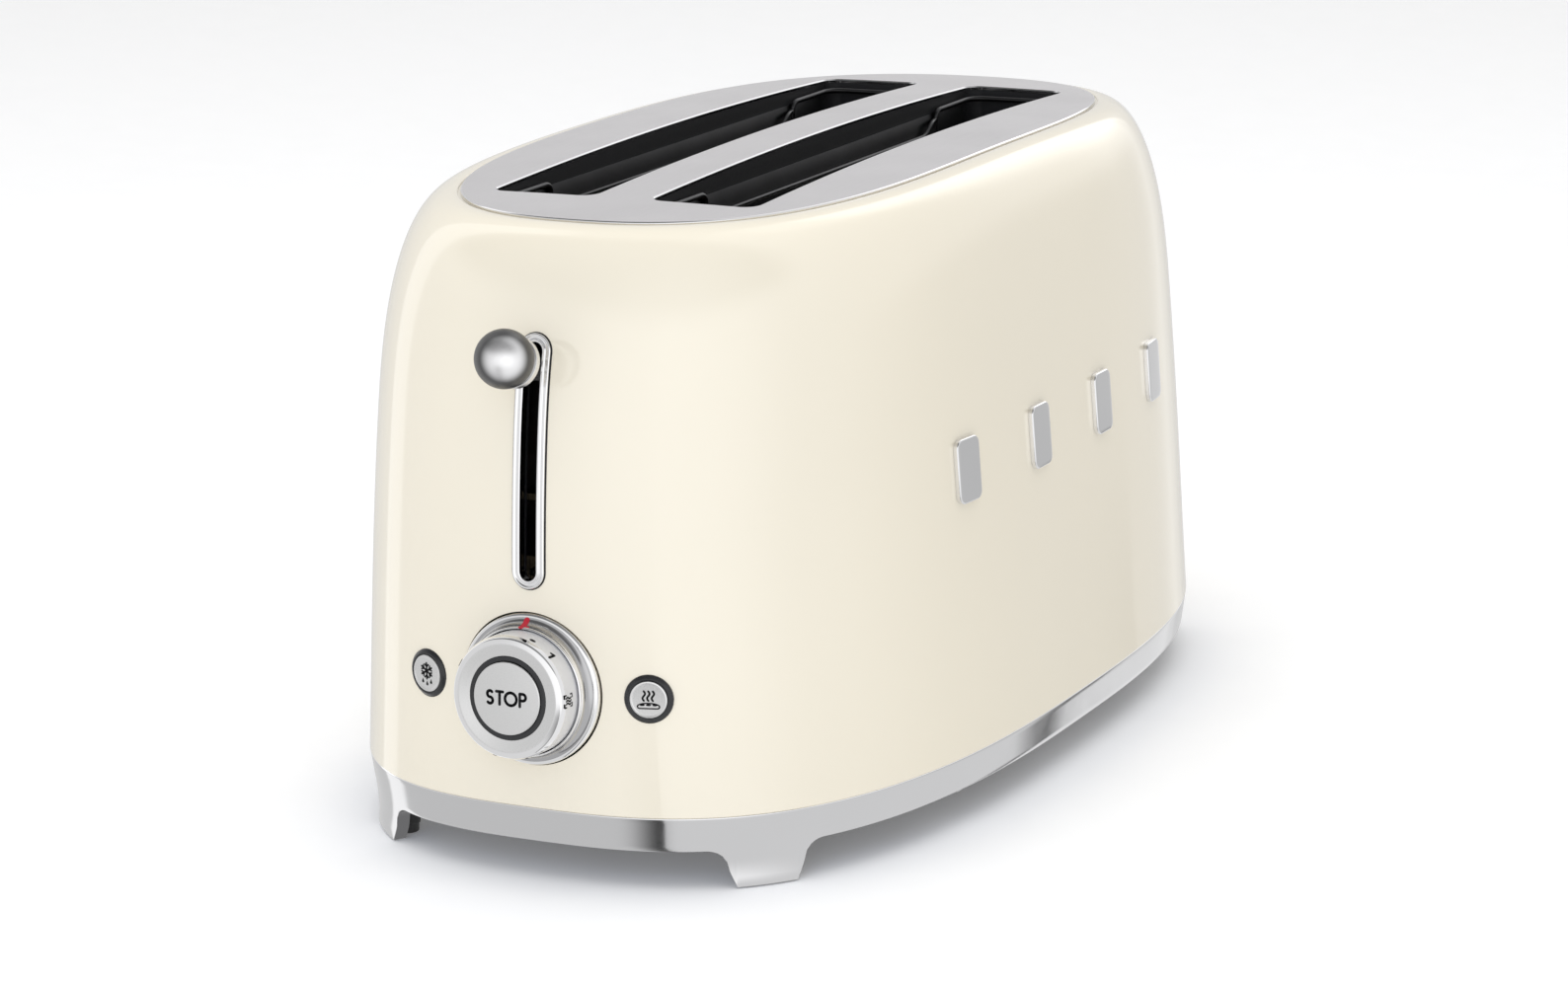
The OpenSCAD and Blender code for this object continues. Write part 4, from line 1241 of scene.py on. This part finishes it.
def camera():
    azimuth, roll = math.radians(25.60), math.radians(-0.82)
    distance, target = 1.5624, Vector((0.00171, -0.00858, 0.08455))
    back = direction(25.60, 13.57)
    right = Vector((math.cos(azimuth), math.sin(azimuth), 0))
    up = back.cross(right)
    r = math.cos(roll) * right + math.sin(roll) * up
    u = -math.sin(roll) * right + math.cos(roll) * up
    data = bpy.data.cameras.new("camera")
    data.sensor_width = 36.0
    data.lens = 104.8
    data.clip_start, data.clip_end = 0.05, 60
    o = bpy.data.objects.new("camera", data)
    turn = Matrix((r, u, back)).transposed().to_4x4()
    o.matrix_world = Matrix.Translation(target + back * distance) @ turn
    bpy.context.scene.collection.objects.link(o)
    bpy.context.scene.camera = o


def floor():
    m, nodes, links, shader = new_material("studio_floor")
    shader.inputs["Roughness"].default_value = 0.8
    shader.inputs["Specular IOR Level"].default_value = 0.1
    links.new(tint(m, grain(m, 40), (0.92, 0.92, 0.92), (0.94, 0.94, 0.94)),
              shader.inputs["Base Color"])
    shader.inputs["Emission Color"].default_value = (1, 1, 1, 1)
    shader.inputs["Emission Strength"].default_value = 0.12
    data = bpy.data.meshes.new("floor")
    half = 9.0
    data.from_pydata([(-half, -half, 0), (half, -half, 0), (half, half, 0), (-half, half, 0)], [],
                     [(0, 1, 2, 3)])
    data.materials.append(m)
    o = bpy.data.objects.new("floor", data)
    bpy.context.scene.collection.objects.link(o)
    o.visible_glossy = False


class Sky:
    """Nodes that turn a world direction into a brightness."""

    def __init__(self, tree):
        self.tree = tree
        place = tree.nodes.new("ShaderNodeTexCoord")
        split = tree.nodes.new("ShaderNodeSeparateXYZ")
        tree.links.new(place.outputs["Generated"], split.inputs["Vector"])
        self.x, self.y, self.z = split.outputs
        self.azimuth = self.math("DEGREES", self.math("ARCTAN2", self.x, self.product(self.y, -1)))

    def math(self, operation, a, b=None):
        node = self.tree.nodes.new("ShaderNodeMath")
        node.operation = operation
        for socket, value in zip(node.inputs, (a, b)):
            if isinstance(value, (int, float)):
                socket.default_value = value
            elif value is not None:
                self.tree.links.new(value, socket)
        return node.outputs[0]

    def step(self, value, low, high):
        """0 below low, 1 above high, eased between; low above high turns it round."""
        return mapped(self.tree, value, min(low, high), max(low, high), float(low > high),
                      float(low < high), "SMOOTHSTEP")

    def chain(self, operation, values):
        out = values[0]
        for v in values[1:]:
            out = self.math(operation, out, v)
        return out

    def product(self, *values):
        return self.chain("MULTIPLY", values)

    def total(self, *values):
        return self.chain("ADD", values)

    def towards(self, azimuth, elevation):
        """Cosine of the angle from that direction."""
        axes = zip((self.x, self.y, self.z), direction(azimuth, elevation))
        return self.total(*[self.product(axis, share) for axis, share in axes])


def reflected_studio(sky):
    """What shiny surfaces mirror: a grey room with bright panels and dark gaps."""
    x, y, z, azimuth = sky.x, sky.y, sky.z, sky.azimuth
    step, product, total = sky.step, sky.product, sky.total
    left = product(step(y, 0.02, 0.10), step(y, 0.36, 0.33), step(x, -0.40, -0.50))
    behind = product(step(x, -0.09, -0.05), step(x, 0.45, 0.22), step(y, 0.20, 0.45))
    ceiling = product(step(x, -0.12, -0.04), step(x, 0.38, 0.14), step(y, 0.55, 0.70),
                      step(z, 0.12, 0.26))
    front = product(step(sky.towards(27, 2), 0.45, 1.0), step(z, -0.45, -0.15))
    roof_gap = product(step(z, 0.40, 0.60), step(y, 0.15, -0.15))
    gap_front = product(step(azimuth, -12, 11), step(azimuth, 12.2, 11.7))
    gap_rear = product(step(azimuth, 154, 160.5), step(azimuth, 162, 161))
    gaps = product(step(z, -0.15, -0.30), total(gap_front, gap_rear))
    dim_rear = product(step(y, 0.2, 0.8), step(x, 0.0, 0.2), step(z, -0.38, -0.25),
                       step(z, 0.14, 0.02))
    room = total(0.70, product(step(azimuth, 10, 20), 0.12), product(dim_rear, -0.25))
    shade = sky.math("SUBTRACT", 1.0, total(product(roof_gap, 0.75), product(gaps, 0.92)))
    lit = product(step(z, -0.02, 0.15), 0.22)
    return total(product(room, shade), product(left, 0.50), product(front, 0.40),
                 product(behind, total(0.12, lit)), product(ceiling, 0.65))


def world():
    """White studio: an even soft light, and a room of panels for shiny surfaces to mirror."""
    w = bpy.data.worlds.new("studio")
    w.use_nodes = True
    w.cycles.sampling_method = "NONE"
    nodes, links = w.node_tree.nodes, w.node_tree.links
    nodes.clear()
    out = nodes.new("ShaderNodeOutputWorld")
    sky = Sky(w.node_tree)
    ambient = sky.total(0.67, sky.product(sky.step(sky.towards(5, 20), 0.0, 1.0), 0.17))
    shaders = []
    for strength in (ambient, reflected_studio(sky), 1.0):
        node = nodes.new("ShaderNodeBackground")
        node.inputs["Color"].default_value = (1, 1, 1, 1)
        if isinstance(strength, float):
            node.inputs["Strength"].default_value = strength
        else:
            links.new(strength, node.inputs["Strength"])
        shaders.append(node.outputs["Background"])
    path = nodes.new("ShaderNodeLightPath")
    chosen = shaders[0]
    for ray, shader in (("Is Glossy Ray", shaders[1]), ("Is Camera Ray", shaders[2])):
        mixed = nodes.new("ShaderNodeMixShader")
        links.new(path.outputs[ray], mixed.inputs["Fac"])
        links.new(chosen, mixed.inputs[1])
        links.new(shader, mixed.inputs[2])
        chosen = mixed.outputs["Shader"]
    links.new(chosen, out.inputs["Surface"])
    bpy.context.scene.world = w


def studio():
    world()
    floor()
    softbox("overhead", 0, 88, 1.8, 2.4, 17)
    softbox("key_front", 14, 20, 2.2, 1.4, 7.5, (0.50, 0.66, 1.05))
    view = bpy.context.scene.view_settings
    view.view_transform = "Standard"
    view.look = "None"
    view.exposure = 0.0


# ---- the object ----
# painted shade: the steel lever arm is given black paint, for the shade inside the lever slot
PAINTED_SHADE_PARTS = {"lever_arm": MATERIALS["black_metal"]}
for part in frame["record"]["subparts"]:
    slots = frame["nodes"][part["node"]].data.materials
    slots.clear()
    slots.append(PAINTED_SHADE_PARTS.get(part["node"], MATERIALS[part["material_slot"]]))

camera()
painted_casing()
brushed_plate()
slot_liners()
slot_details()
foot_band()
tray_front()
rubber_feet()
slot_trim()
lever_ball()
dial_bezel()
dial_index()
dial_knob()
stop_button()
for button in BUTTONS:
    push_button(button)
control_marks()
side_studs()
bread_guides()
heating_elements()
studio()
